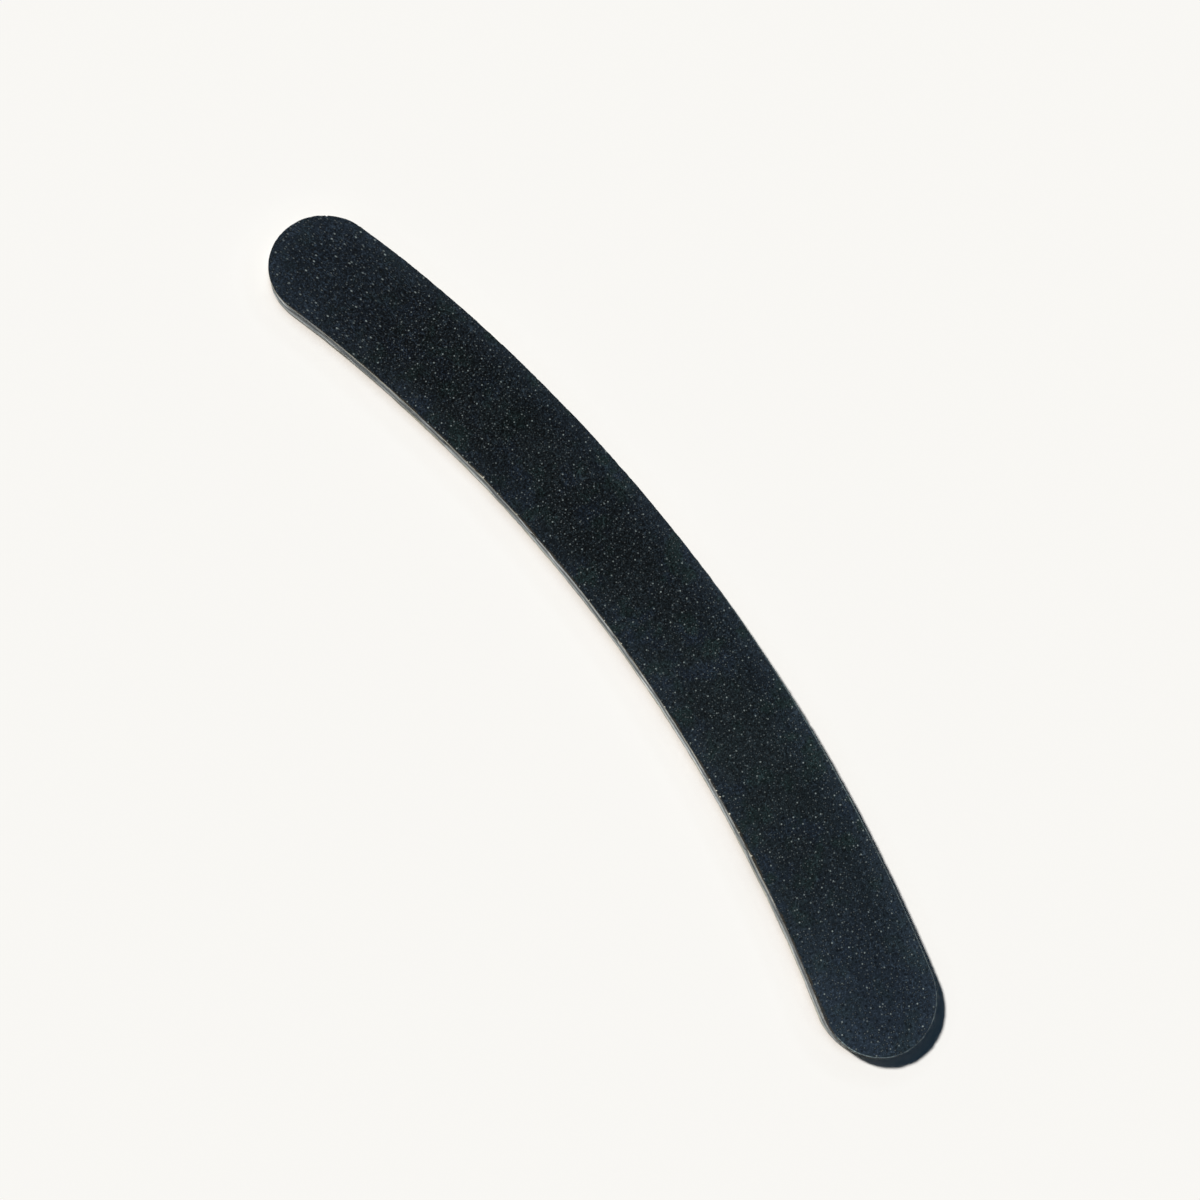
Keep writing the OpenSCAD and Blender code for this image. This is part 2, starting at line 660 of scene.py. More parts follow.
class Graph:
    """Adds and links nodes in one shader node tree."""

    SCATTER = 0.85
    FIRST_COLOUR = 6
    SECOND_COLOUR = 7
    MIXED_COLOUR = 2

    def __init__(self, tree: bpy.types.NodeTree) -> None:
        """Keeps the node tree."""
        self.tree = tree

    def add(self, kind: str, **settings: object) -> bpy.types.Node:
        """Adds a node.

        Args:
            kind: the node's type.
            settings: its settings by name.

        Returns:
            The node.
        """
        node = self.tree.nodes.new(kind)
        for name, value in settings.items():
            setattr(node, name, value)
        return node

    def feed(self, socket: Socket, value: Value) -> None:
        """Links a socket to a value's socket, or sets it to a plain value.

        Args:
            socket: the socket that takes the value.
            value: another node's socket, a number, a vector, or a colour without its alpha.
        """
        if isinstance(value, Socket):
            self.tree.links.new(value, socket)
        elif isinstance(value, tuple) and len(value) == 3 and len(socket.default_value) == 4:
            socket.default_value = (*value, 1.0)
        else:
            socket.default_value = value

    def math(self, operation: str, *values: Value, clamp: bool = False) -> Socket:
        """Adds a maths node.

        Args:
            operation: what it does.
            values: what it works on.
            clamp: whether its result is held between 0 and 1.

        Returns:
            The result.
        """
        node = self.add("ShaderNodeMath", operation=operation, use_clamp=clamp)
        for socket, value in zip(node.inputs, values):
            self.feed(socket, value)
        return node.outputs[0]

    def length(self, first: Value, second: Value) -> Socket:
        """Finds the long side of a right-angled triangle from its two short sides."""
        squares = (self.math("MULTIPLY", side, side) for side in (first, second))
        return self.math("SQRT", self.math("ADD", *squares))

    def span(
        self, value: Value, low: Value, high: Value, start: Value = 0.0, end: Value = 1.0
    ) -> Socket:
        """Maps a value smoothly from one range to another, and holds it beyond them.

        Args:
            value: the value.
            low: the point that gives the start value.
            high: the point that gives the end value.
            start: the result at the low point.
            end: the result at the high point.

        Returns:
            The result.
        """
        node = self.add("ShaderNodeMapRange", interpolation_type="SMOOTHSTEP")
        for socket, entry in zip(node.inputs, (value, low, high, start, end)):
            self.feed(socket, entry)
        return node.outputs[0]

    def between(self, mask: Value, start: Value, end: Value) -> Socket:
        """Goes smoothly from a start to an end value where a mask goes from 0 to 1."""
        return self.span(mask, 0.0, 1.0, start, end)

    def mix(self, share: Value, first: Value, second: Value, blend: str = "MIX") -> Socket:
        """Mixes two colours.

        Args:
            share: the second colour's share.
            first: the first colour.
            second: the second colour.
            blend: how they are mixed.

        Returns:
            The mixed colour.
        """
        node = self.add("ShaderNodeMix", data_type="RGBA", blend_type=blend)
        self.feed(node.inputs["Factor"], share)
        self.feed(node.inputs[self.FIRST_COLOUR], first)
        self.feed(node.inputs[self.SECOND_COLOUR], second)
        return node.outputs[self.MIXED_COLOUR]

    def noise(
        self, place: Value, scale: Value, detail: Detail = Detail.EVEN, twist: float = 0.0
    ) -> Socket:
        """Adds a noise texture.

        Args:
            place: the place that it is read at.
            scale: how dense it is.
            detail: how many finer layers it has.
            twist: how much it is warped.

        Returns:
            The noise level, about one half in the middle.
        """
        node = self.add("ShaderNodeTexNoise")
        self.feed(node.inputs["Vector"], place)
        self.feed(node.inputs["Scale"], scale)
        self.feed(node.inputs["Detail"], detail.value)
        self.feed(node.inputs["Distortion"], twist)
        return node.outputs["Fac"]

    def cells(self, place: Value, scale: Value, flat: bool = False) -> bpy.types.Node:
        """Adds a texture of scattered cells.

        Args:
            place: the place that it is read at.
            scale: how dense the cells are.
            flat: whether they lie in the plane of the face, and not in space.

        Returns:
            The node, with each cell's colour and the distance to its point.
        """
        node = self.add("ShaderNodeTexVoronoi", voronoi_dimensions="2D" if flat else "3D")
        self.feed(node.inputs["Randomness"], self.SCATTER)
        self.feed(node.inputs["Vector"], place)
        self.feed(node.inputs["Scale"], scale)
        return node

    def split(self, vector: Value) -> Sockets:
        """Splits a vector.

        Args:
            vector: the vector.

        Returns:
            Its three parts.
        """
        node = self.add("ShaderNodeSeparateXYZ")
        self.feed(node.inputs[0], vector)
        return node.outputs

    def join(self, *parts: Value) -> Socket:
        """Joins parts to a vector.

        Args:
            parts: the three parts.

        Returns:
            The vector.
        """
        node = self.add("ShaderNodeCombineXYZ")
        for socket, part in zip(node.inputs, parts):
            self.feed(socket, part)
        return node.outputs[0]

    def stretch(self, place: Value, factors: Value) -> Socket:
        """Stretches a place along each axis.

        Args:
            place: the place.
            factors: one factor for each axis.

        Returns:
            The stretched place.
        """
        node = self.add("ShaderNodeVectorMath", operation="MULTIPLY")
        self.feed(node.inputs[0], place)
        self.feed(node.inputs[1], factors)
        return node.outputs[0]

    def scale(self, colour: Value, factor: Value) -> Socket:
        """Brightens or darkens a colour.

        Args:
            colour: the colour.
            factor: what it is multiplied by.

        Returns:
            The new colour.
        """
        node = self.add("ShaderNodeVectorMath", operation="SCALE")
        self.feed(node.inputs[0], colour)
        self.feed(node.inputs["Scale"], factor)
        return node.outputs[0]

    def bump(self, height: Value, strength: float, distance: float) -> Socket:
        """Adds a bump node.

        Args:
            height: a mask of how high the surface is.
            strength: how strongly it shows.
            distance: the height that the mask stands for.

        Returns:
            The normal.
        """
        node = self.add("ShaderNodeBump")
        self.feed(node.inputs["Height"], height)
        self.feed(node.inputs["Strength"], strength)
        self.feed(node.inputs["Distance"], distance)
        return node.outputs["Normal"]

    def effect(self, group: bpy.types.NodeTree, **values: Value) -> Sockets:
        """Adds a shared effect.

        Args:
            group: the effect's node group.
            values: its inputs by name, in small letters, with underscores for spaces.

        Returns:
            The effect's outputs.
        """
        node = self.add("ShaderNodeGroup", node_tree=group)
        for name, value in values.items():
            self.feed(node.inputs[name.replace("_", " ").title()], value)
        return node.outputs


class Effects:
    """The shared surface effects. Each is one node group, built once."""

    DOT_CORE = 0.35
    DOT_HALO = 1.7
    THREAD_TWIST = 0.6
    THREAD_HALO = 3.6
    GAP_FADE = 0.12
    DRAG_LINES = Fade(0.3, 0.7)
    SMEARS = Fade(0.35, 0.68)
    SMEAR_STRETCH = (0.12, 1.0, 1.0)
    PALE_STREAKS = Fade(0.54, 0.66)
    DARK_STREAKS = Fade(0.48, 0.36)

    def __init__(self, outline: Outline) -> None:
        """Builds every group.

        Args:
            outline: the band whose rim and length the effects follow.
        """
        self.outline = outline
        self.strip = self.build_strip()
        self.speckle = self.build_speckle("speckle", flat=False)
        self.face_speckle = self.build_speckle("face_speckle", flat=True)
        self.mottle = self.build_mottle()
        self.threads = self.build_threads()
        self.cut_marks = self.build_cut_marks()
        self.streaks = self.build_streaks()

    def start(
        self, name: str, inputs: tuple[str, ...], outputs: tuple[str, ...]
    ) -> tuple[Graph, Sockets, Sockets]:
        """Starts the node group of an effect, which takes a place and some numbers.

        Args:
            name: the group's name.
            inputs: the names of the numbers that it takes.
            outputs: the names of what it puts out. Each is a number, and Place is a vector.

        Returns:
            The group's graph, its inputs' sockets and its outputs' sockets.
        """
        tree = bpy.data.node_groups.new(name, "ShaderNodeTree")
        for way, labels in (("INPUT", ("Place", *inputs)), ("OUTPUT", outputs)):
            for label in labels:
                kind = "NodeSocketVector" if label == "Place" else "NodeSocketFloat"
                tree.interface.new_socket(name=label, in_out=way, socket_type=kind)
        graph = Graph(tree)
        return graph, graph.add("NodeGroupInput").outputs, graph.add("NodeGroupOutput").inputs

    def build_strip(self) -> bpy.types.NodeTree:
        """Builds the effect that turns a place into distances along, across and inside the band.

        Returns:
            The group.
        """
        graph, given, result = self.start("strip_distances", (), ("Place", "Inset"))
        outline = self.outline
        x, y, z = graph.split(given["Place"])
        out_y = graph.math("SUBTRACT", y, outline.bend_centre_y)
        angle = graph.math("ARCTAN2", x, out_y)
        across = graph.math("SUBTRACT", graph.length(x, out_y), outline.bend_radius)
        along = graph.math("MULTIPLY", angle, outline.bend_radius)
        end_x = outline.bend_radius * math.sin(outline.half_angle)
        end_y = outline.bend_radius * math.cos(outline.half_angle)
        off_x = graph.math("SUBTRACT", graph.math("ABSOLUTE", x), end_x)
        off_y = graph.math("SUBTRACT", out_y, end_y)
        from_end = graph.length(off_x, off_y)
        beyond = graph.math("GREATER_THAN", graph.math("ABSOLUTE", angle), outline.half_angle)
        from_middle = graph.math("ABSOLUTE", across)
        extra = graph.math("MULTIPLY", beyond, graph.math("SUBTRACT", from_end, from_middle))
        reach = graph.math("ADD", from_middle, extra)
        graph.feed(result["Inset"], graph.math("SUBTRACT", outline.half_width, reach))
        graph.feed(result["Place"], graph.join(along, across, z))
        return graph.tree

    def build_speckle(self, name: str, flat: bool) -> bpy.types.NodeTree:
        """Builds the effect that scatters dots, of which a share is lit, few of them fully.

        Args:
            name: the group's name.
            flat: whether the dots lie in the plane of the face, and not in space.

        Returns:
            The group.
        """
        graph, given, result = self.start(
            name, ("Scale", "Radius", "Share", "Rarity"), ("Mask", "Halo")
        )
        cells = graph.cells(given["Place"], given["Scale"], flat).outputs
        chance = graph.add("ShaderNodeSeparateColor")
        graph.feed(chance.inputs[0], cells["Color"])
        least = graph.math("SUBTRACT", 1.0, given["Share"])
        above = graph.math("SUBTRACT", chance.outputs[0], least)
        share = graph.math("DIVIDE", above, given["Share"], clamp=True)
        level = graph.math("POWER", share, given["Rarity"])
        core = graph.math("MULTIPLY", given["Radius"], self.DOT_CORE)
        dot = graph.span(cells["Distance"], core, given["Radius"], 1.0, 0.0)
        graph.feed(result["Mask"], graph.math("MULTIPLY", dot, level))
        wide = graph.math("MULTIPLY", given["Radius"], self.DOT_HALO)
        ring = graph.span(cells["Distance"], given["Radius"], wide, 1.0, 0.0)
        lit = graph.math("GREATER_THAN", above, 0.0)
        graph.feed(result["Halo"], graph.math("MULTIPLY", ring, lit))
        return graph.tree

    def build_mottle(self) -> bpy.types.NodeTree:
        """Builds the effect that varies a surface in soft patches.

        Returns:
            The group.
        """
        graph, given, result = self.start("mottle", ("Scale", "Low", "High"), ("Mask",))
        noise = graph.noise(given["Place"], given["Scale"], detail=Detail.FINE)
        graph.feed(result["Mask"], graph.span(noise, given["Low"], given["High"]))
        return graph.tree

    def build_threads(self) -> bpy.types.NodeTree:
        """Builds the effect that draws short curved threads with a dark border, such as rows of grains.

        Returns:
            The group.
        """
        graph, given, result = self.start(
            "threads", ("Scale", "Width", "Break Scale", "Gaps"), ("Mask", "Halo")
        )
        noise = graph.noise(given["Place"], given["Scale"], detail=Detail.PLAIN, twist=self.THREAD_TWIST)
        away = graph.math("ABSOLUTE", graph.math("SUBTRACT", noise, NOISE_MIDDLE))
        line = graph.span(away, 0.0, given["Width"], 1.0, 0.0)
        breaks = graph.noise(given["Place"], given["Break Scale"], detail=Detail.SOFT)
        upper = graph.math("ADD", given["Gaps"], self.GAP_FADE)
        kept = graph.span(breaks, given["Gaps"], upper)
        graph.feed(result["Mask"], graph.math("MULTIPLY", line, kept))
        wide = graph.math("MULTIPLY", given["Width"], self.THREAD_HALO)
        border = graph.span(away, given["Width"], wide, 1.0, 0.0)
        graph.feed(result["Halo"], graph.math("MULTIPLY", border, kept))
        return graph.tree

    def build_cut_marks(self) -> bpy.types.NodeTree:
        """Builds the effect that the die leaves on a cut edge: drag lines down the wall, and smears.

        Returns:
            The group.
        """
        graph, given, result = self.start("cut_marks", ("Scale", "Drag"), ("Lines", "Smears"))
        dragged = graph.stretch(given["Place"], graph.join(1.0, 1.0, given["Drag"]))
        lines = graph.noise(dragged, given["Scale"], detail=Detail.FINE)
        graph.feed(result["Lines"], graph.span(lines, *self.DRAG_LINES))
        level = graph.stretch(given["Place"], self.SMEAR_STRETCH)
        smears = graph.noise(level, given["Scale"])
        graph.feed(result["Smears"], graph.span(smears, *self.SMEARS))
        return graph.tree

    def build_streaks(self) -> bpy.types.NodeTree:
        """Builds the effect that draws long streaks, which sink a little as they run along the wall.

        Returns:
            The group.
        """
        graph, given, result = self.start("streaks", ("Scale", "Slope", "Reach"), ("Pale", "Dark"))
        along, across, height = graph.split(given["Place"])
        sheared = graph.math("ADD", height, graph.math("MULTIPLY", along, given["Slope"]))
        slow = graph.math("MULTIPLY", along, given["Reach"])
        noise = graph.noise(graph.join(slow, across, sheared), given["Scale"])
        graph.feed(result["Pale"], graph.span(noise, *self.PALE_STREAKS))
        graph.feed(result["Dark"], graph.span(noise, *self.DARK_STREAKS))
        return graph.tree


@dataclass(frozen=True)
class Paint:
    """A material in the making, with the distances that its patterns are drawn by."""

    graph: Graph
    effects: Effects
    shader: bpy.types.Node
    place: Socket
    along: Socket
    across: Socket
    height: Socket
    inset: Socket


@dataclass(frozen=True)
class Finish(ABC):
    """What every finish has: a name and the gloss of its surface."""

    name: str
    gloss: float = 0.5

    def material(self, effects: Effects) -> bpy.types.Material:
        """Builds the finish's material.

        Args:
            effects: the shared effects.

        Returns:
            The material.
        """
        material = bpy.data.materials.new(self.name)
        material.use_nodes = True
        graph = Graph(material.node_tree)
        shader = material.node_tree.nodes["Principled BSDF"]
        shader.inputs["Specular IOR Level"].default_value = self.gloss
        here = graph.add("ShaderNodeTexCoord")
        strip = graph.effect(effects.strip, place=here.outputs["Object"])
        place = strip["Place"]
        self.dress(Paint(graph, effects, shader, place, *graph.split(place), strip["Inset"]))
        return material

    @abstractmethod
    def dress(self, paint: Paint) -> None:
        """Feeds the shader with the finish's colour, roughness and relief."""


@dataclass(frozen=True)
class GritFinish(Finish):
    """Black abrasive grains: a dark coat with soft tints, threads of grains, pale grains and painted
    glints that stand for bright facets.
    """

    name: str = "abrasive_grit"
    gloss: float = 0.02
    dark: Colour = (0.0046, 0.0066, 0.0078)
    blue: Colour = (0.0047, 0.0071, 0.0103)
    blue_patches: Patches = Patches(170.0, 0.50, 0.66)
    blue_ends: Fade = Fade(40 * MM, 89 * MM)
    # The bluer border is part of the painted sheen along it.
    blue_border: Fade = Fade(0.5 * MM, 4 * MM, 0.5, 0.0)
    blue_convex: Fade = Fade(2 * MM, 8 * MM, 0.0, 0.6)
    green: Colour = (0.0045, 0.0077, 0.0082)
    green_patches: Patches = Patches(210.0, 0.52, 0.66)
    green_ends: Fade = Fade(50 * MM, 80 * MM, 1.0, 0.35)
    contrast: float = 38.0
    fine_scale: float = 2900.0
    fine_twist: float = 0.3
    broad_scale: float = 90.0
    broad_swing: float = 0.55
    threads: tuple[Threads, ...] = (
        Threads(1500.0, 4.5, 0.49),
        Threads(2100.0, 4.5, 0.49),
        Threads(380.0, 4.2, 0.54),
    )
    thread_reach: float = 0.045 * MM
    thread_shade: float = 0.3
    thread_gap_scale: float = 1.15
    # The lifts are a painted sheen. They paint the coat lighter along the convex edge, towards the right,
    # at the ends, at the right end's concave corner and along the border, and a little darker in the
    # middle.
    convex_lift: Fade = Fade(7.0 * MM, 9.8 * MM, 0.0, 0.8)
    right_lift: Fade = Fade(-55 * MM, 95 * MM, 0.0, 1.5)
    end_lift: Fade = Fade(55 * MM, 89 * MM, 0.0, 0.7)
    border_lift: Fade = Fade(1 * MM, 5 * MM, 0.5, -0.13)
    corner_lift: Fade = Fade(55 * MM, 85 * MM, 0.0, 0.6)
    corner_side: Fade = Fade(1 * MM, -7 * MM)
    grain: Colour = (0.088, 0.105, 0.110)
    grain_dots: Dots = Dots(1400.0, 0.23, 0.90, 1.7)
    # Painted glints: small bright dots painted into the colour in place of the sparkle of grit facets.
    spark: Colour = (0.22, 0.258, 0.255)
    spark_dots: Dots = Dots(560.0, 0.105, 0.95, 1.5)
    dot_shade: float = 0.5
    stroke: float = 0.62
    stroke_from: float = -64 * MM
    dust_patches: Patches = Patches(2400.0, 0.35, 0.65)
    # The rubbed rim's grey is partly wear and partly a painted highlight of the rim catching light. Its
    # gain is painted light: it grows brighter towards the concave side of the right end, where the wall
    # beside it is lit.
    worn: Colour = (0.150, 0.190, 0.195)
    worn_gain: Fade = Fade(-6.5 * MM, -1.0 * MM, 1.9, 1.0)
    worn_border: Fade = Fade(0.08 * MM, 0.22 * MM, 1.0, 0.0)
    worn_right: Fade = Fade(-20 * MM, 55 * MM)
    worn_side: Fade = Fade(-9.9 * MM, -8.6 * MM)
    bare: Colour = (0.044, 0.038, 0.028)
    bare_scale: float = 330.0
    bare_width: Fade = Fade(0.34, 0.66, 0.02 * MM, 0.34 * MM)
    bare_core: float = 0.6
    bare_right: Fade = Fade(-60 * MM, 70 * MM, 0.7, 1.25)
    bare_side: Fade = Fade(-9.4 * MM, -7.5 * MM, 0.9, 0.0)
    least_share: float = 0.4
    roughness: tuple[float, float] = (0.60, 0.40)
    relief_scale: float = 6500.0
    relief_strength: float = 0.5
    relief: float = 0.03 * MM

    def stroked(self, paint: Paint) -> Socket:
        """Draws the patterns' places out, so that they run into strokes at the left end.

        Args:
            paint: the material in the making.

        Returns:
            The place that the patterns are drawn at.
        """
        graph = paint.graph
        shift = self.stroke_from * (1 - self.stroke)
        slow = graph.math("ADD", graph.math("MULTIPLY", paint.along, self.stroke), shift)
        return graph.join(graph.math("MAXIMUM", paint.along, slow), paint.across, paint.height)

    def tint(self, paint: Paint) -> Socket:
        """Mixes the coat's soft tints: bluer towards the ends, with mossy patches.

        Args:
            paint: the material in the making.

        Returns:
            The colour.
        """
        graph = paint.graph
        reach = graph.math("ABSOLUTE", paint.along)
        mottle = paint.effects.mottle
        patches = graph.effect(mottle, place=paint.place, **self.blue_patches._asdict())
        share = graph.math("MAXIMUM", patches["Mask"], graph.span(reach, *self.blue_ends))
        share = graph.math("MAXIMUM", share, graph.span(paint.inset, *self.blue_border))
        share = graph.math("MAXIMUM", share, graph.span(paint.across, *self.blue_convex))
        moss = graph.effect(mottle, place=paint.place, **self.green_patches._asdict())
        mossy = graph.math("MULTIPLY", moss["Mask"], graph.span(reach, *self.green_ends))
        return graph.mix(mossy, graph.mix(share, self.dark, self.blue), self.green)

    def tone(self, paint: Paint, place: Socket) -> Socket:
        """Works out how bright the coat is, from mottling, threads, broad patches and the painted sheen.

        Args:
            paint: the material in the making.
            place: the place that the patterns are drawn at.

        Returns:
            A factor for the tint.
        """
        graph = paint.graph
        fine = graph.noise(paint.place, self.fine_scale, detail=Detail.PLAIN, twist=self.fine_twist)
        broad = graph.noise(place, self.broad_scale)
        swing = graph.math("MULTIPLY", graph.math("SUBTRACT", broad, NOISE_MIDDLE), self.broad_swing)
        level = graph.math("ADD", graph.math("SUBTRACT", fine, NOISE_MIDDLE), swing)
        base = graph.math("POWER", self.contrast, level)
        for scale, gain, gaps in self.threads:
            threads = graph.effect(
                paint.effects.threads,
                place=place,
                scale=scale,
                width=self.thread_reach * scale,
                break_scale=scale * self.thread_gap_scale,
                gaps=gaps,
            )
            shade = graph.between(threads["Halo"], 1.0, 1.0 - self.thread_shade)
            lines = graph.math("MULTIPLY", threads["Mask"], gain)
            base = graph.math("ADD", graph.math("MULTIPLY", base, shade), lines)
        # Painted sheen.
        for lift in self.lifts(paint):
            base = graph.math("ADD", base, lift)
        return base

    def lifts(self, paint: Paint) -> tuple[Socket, ...]:
        """Finds where the coat is painted lighter as a painted sheen: along its border, at the ends, and
        more so to the right.

        Args:
            paint: the material in the making.

        Returns:
            What each of these places adds to the tone.
        """
        graph = paint.graph
        corner = graph.span(paint.along, *self.corner_lift)
        return (
            graph.span(paint.across, *self.convex_lift),
            graph.span(paint.along, *self.right_lift),
            graph.span(graph.math("ABSOLUTE", paint.along), *self.end_lift),
            graph.span(paint.inset, *self.border_lift),
            graph.math("MULTIPLY", corner, graph.span(paint.across, *self.corner_side)),
        )

    def worn_line(self, paint: Paint) -> Socket:
        """Finds where the face's edge is rubbed grey, partly wear and partly a painted highlight of the
        rim catching light: round the right end and along the convex edge.

        Args:
            paint: the material in the making.

        Returns:
            A mask.
        """
        graph = paint.graph
        border = graph.span(paint.inset, *self.worn_border)
        rightwards = graph.span(paint.along, *self.worn_right)
        outer = graph.span(paint.across, *self.worn_side)
        return graph.math("MULTIPLY", border, graph.math("MULTIPLY", rightwards, outer))

    def bare_line(self, paint: Paint) -> Socket:
        """Finds where the die has crushed the grains off the concave edge, so that brown paper shows.

        Args:
            paint: the material in the making.

        Returns:
            A mask.
        """
        graph = paint.graph
        wander = graph.noise(paint.place, self.bare_scale, detail=Detail.FINE)
        width = graph.span(wander, *self.bare_width)
        width = graph.math("MULTIPLY", width, graph.span(paint.along, *self.bare_right))
        core = graph.math("MULTIPLY", width, self.bare_core)
        near = graph.span(paint.inset, core, width, 1.0, 0.0)
        return graph.math("MULTIPLY", near, graph.span(paint.across, *self.bare_side))

    def dress(self, paint: Paint) -> None:
        """Feeds the shader with the coat's colour, roughness and relief.

        Args:
            paint: the material in the making.
        """
        graph, shader = paint.graph, paint.shader
        place = self.stroked(paint)
        speckle = paint.effects.face_speckle
        grains = graph.effect(speckle, place=place, **self.grain_dots._asdict())
        glints = graph.effect(speckle, place=place, **self.spark_dots._asdict())
        hollow = graph.between(grains["Halo"], 1.0, 1.0 - self.dot_shade)
        tone = graph.math("MULTIPLY", self.tone(paint, place), hollow)
        colour = graph.scale(self.tint(paint), tone)
        colour = graph.mix(grains["Mask"], colour, self.grain)
        # Painted glints.
        colour = graph.mix(glints["Mask"], colour, self.spark)
        dust = graph.effect(paint.effects.mottle, place=place, **self.dust_patches._asdict())["Mask"]
        kept = graph.between(dust, self.least_share, 1.0)
        # The rubbed rim, partly a painted highlight, is painted brighter still towards the concave side
        # where the wall is lit.
        rubbed_and_lit = graph.math("MULTIPLY", self.worn_line(paint), kept)
        painted_rim_light = graph.span(paint.across, *self.worn_gain)
        colour = graph.mix(rubbed_and_lit, colour, graph.scale(self.worn, painted_rim_light))
        kept = graph.between(dust, 1.0, self.least_share)
        crushed = graph.math("MULTIPLY", self.bare_line(paint), kept)
        colour = graph.mix(crushed, colour, self.bare)
        graph.feed(shader.inputs["Base Color"], colour)
        graph.feed(shader.inputs["Roughness"], graph.between(dust, *self.roughness))
        grit = graph.noise(place, self.relief_scale)
        graph.feed(shader.inputs["Normal"], graph.bump(grit, self.relief_strength, self.relief))


@dataclass(frozen=True)
class LayerFinish(Finish):
    """A layer seen at its cut edge: one colour with a second in smears, drag lines and specks."""

    colour: Colour = (0.5, 0.5, 0.5)
    smear: Colour = (0.3, 0.3, 0.3)
    smear_share: float = 0.6
    speck: Colour = (0.1, 0.1, 0.1)
    speck_scale: float = 2600.0
    speck_radius: float = 0.45
    speck_share: float = 0.3
    roughness: tuple[float, float] = (0.5, 0.8)
    mark_scale: float = 1800.0
    drag: float = 0.15
    line_share: float = 0.25
    relief: float = 0.02 * MM
    relief_strength: float = 0.6
    patch: Colour = (0.3, 0.3, 0.3)
    pale: Colour = (0.80, 0.83, 0.83)
    patch_share: float = 0.0
    patch_streaks: Streaks = Streaks(1250.0, 0.11, 0.10)
    slate: Colour = (0.15, 0.165, 0.175)
    slate_share: float = 0.0
    slate_scale: float = 140.0
    slate_stretch: tuple[float, float, float] = (1.0, 1.0, 0.0)
    slate_wander: Fade = Fade(0.3, 0.7, *CORE_SPAN)
    slate_reach: tuple[float, float] = (0.05 * MM, 0.95 * MM)
    right_shade: float = 1.0
    right_span: tuple[float, float] = (10 * MM, 70 * MM)
    # Painted shade under the sheet: the top of the layer is painted darker where the sheet above
    # overhangs it.
    soil: Colour = (0.03, 0.03, 0.03)
    soil_share: float = 0.0
    soil_top: float = 3.42 * MM
    soil_reach: Fade = Fade(-65 * MM, 65 * MM, 0.35 * MM, 1.45 * MM)
    soil_drag: tuple[float, float] = (0.85, 1.15)

    def streaked(self, paint: Paint, colour: Value) -> Socket:
        """Draws dark and pale streaks along the layer.

        Args:
            paint: the material in the making.
            colour: the plain colour.

        Returns:
            The streaked colour.
        """
        graph = paint.graph
        streaks = graph.effect(paint.effects.streaks, place=paint.place, **self.patch_streaks._asdict())
        for tone, shade in (("Dark", self.patch), ("Pale", self.pale)):
            colour = graph.mix(graph.math("MULTIPLY", streaks[tone], self.patch_share), colour, shade)
        return colour

    def slated(self, paint: Paint, colour: Value) -> Socket:
        """Greys the layer beside the core, where the die has dragged the plastic over it.

        Args:
            paint: the material in the making.
            colour: the clean colour.

        Returns:
            The greyed colour.
        """
        graph = paint.graph
        level = graph.stretch(paint.place, self.slate_stretch)
        wander = graph.noise(level, self.slate_scale, detail=Detail.FINE)
        shift = graph.span(wander, *self.slate_wander)
        away = graph.math("ABSOLUTE", graph.math("SUBTRACT", paint.height, shift))
        share = graph.span(away, *self.slate_reach, self.slate_share, 0.0)
        return graph.mix(share, colour, self.slate)

    def soiled(self, paint: Paint, colour: Value, drags: Value) -> Socket:
        """Paints shade on the top of the layer under the overhang of the sheet above, reaching further
        down to the right and ragged along the drag lines.

        Args:
            paint: the material in the making.
            colour: the colour without the painted shade.
            drags: a mask of drag lines.

        Returns:
            The soiled colour.
        """
        graph = paint.graph
        reach = graph.span(paint.along, *self.soil_reach)
        reach = graph.math("MULTIPLY", reach, graph.between(drags, *self.soil_drag))
        low = graph.math("SUBTRACT", self.soil_top, reach)
        mask = graph.span(paint.height, low, self.soil_top, 0.0, self.soil_share)
        return graph.mix(mask, colour, self.soil)

    def dress(self, paint: Paint) -> None:
        """Feeds the shader with the layer's colour, roughness and relief.

        Args:
            paint: the material in the making.
        """
        graph, effects, shader = paint.graph, paint.effects, paint.shader
        marks = graph.effect(effects.cut_marks, place=paint.place, scale=self.mark_scale, drag=self.drag)
        dots = Dots(self.speck_scale, self.speck_radius, self.speck_share, 1.0)
        specks = graph.effect(effects.speckle, place=paint.place, **dots._asdict())["Mask"]
        smears = graph.math("MULTIPLY", marks["Smears"], self.smear_share)
        colour = graph.mix(smears, self.colour, self.smear)
        if self.patch_share:
            colour = self.streaked(paint, colour)
        lines = graph.math("MULTIPLY", marks["Lines"], self.line_share)
        colour = graph.mix(lines, colour, self.smear)
        colour = graph.mix(specks, colour, self.speck)
        if self.slate_share:
            colour = self.slated(paint, colour)
        if self.right_shade != 1.0:
            shade = graph.span(paint.along, *self.right_span, 1.0, self.right_shade)
            colour = graph.scale(colour, shade)
        # Painted shade under the sheet above.
        if self.soil_share:
            colour = self.soiled(paint, colour, marks["Lines"])
        graph.feed(shader.inputs["Base Color"], colour)
        graph.feed(shader.inputs["Roughness"], graph.between(marks["Smears"], *self.roughness))
        height = graph.math("SUBTRACT", marks["Lines"], specks)
        graph.feed(shader.inputs["Normal"], graph.bump(height, self.relief_strength, self.relief))


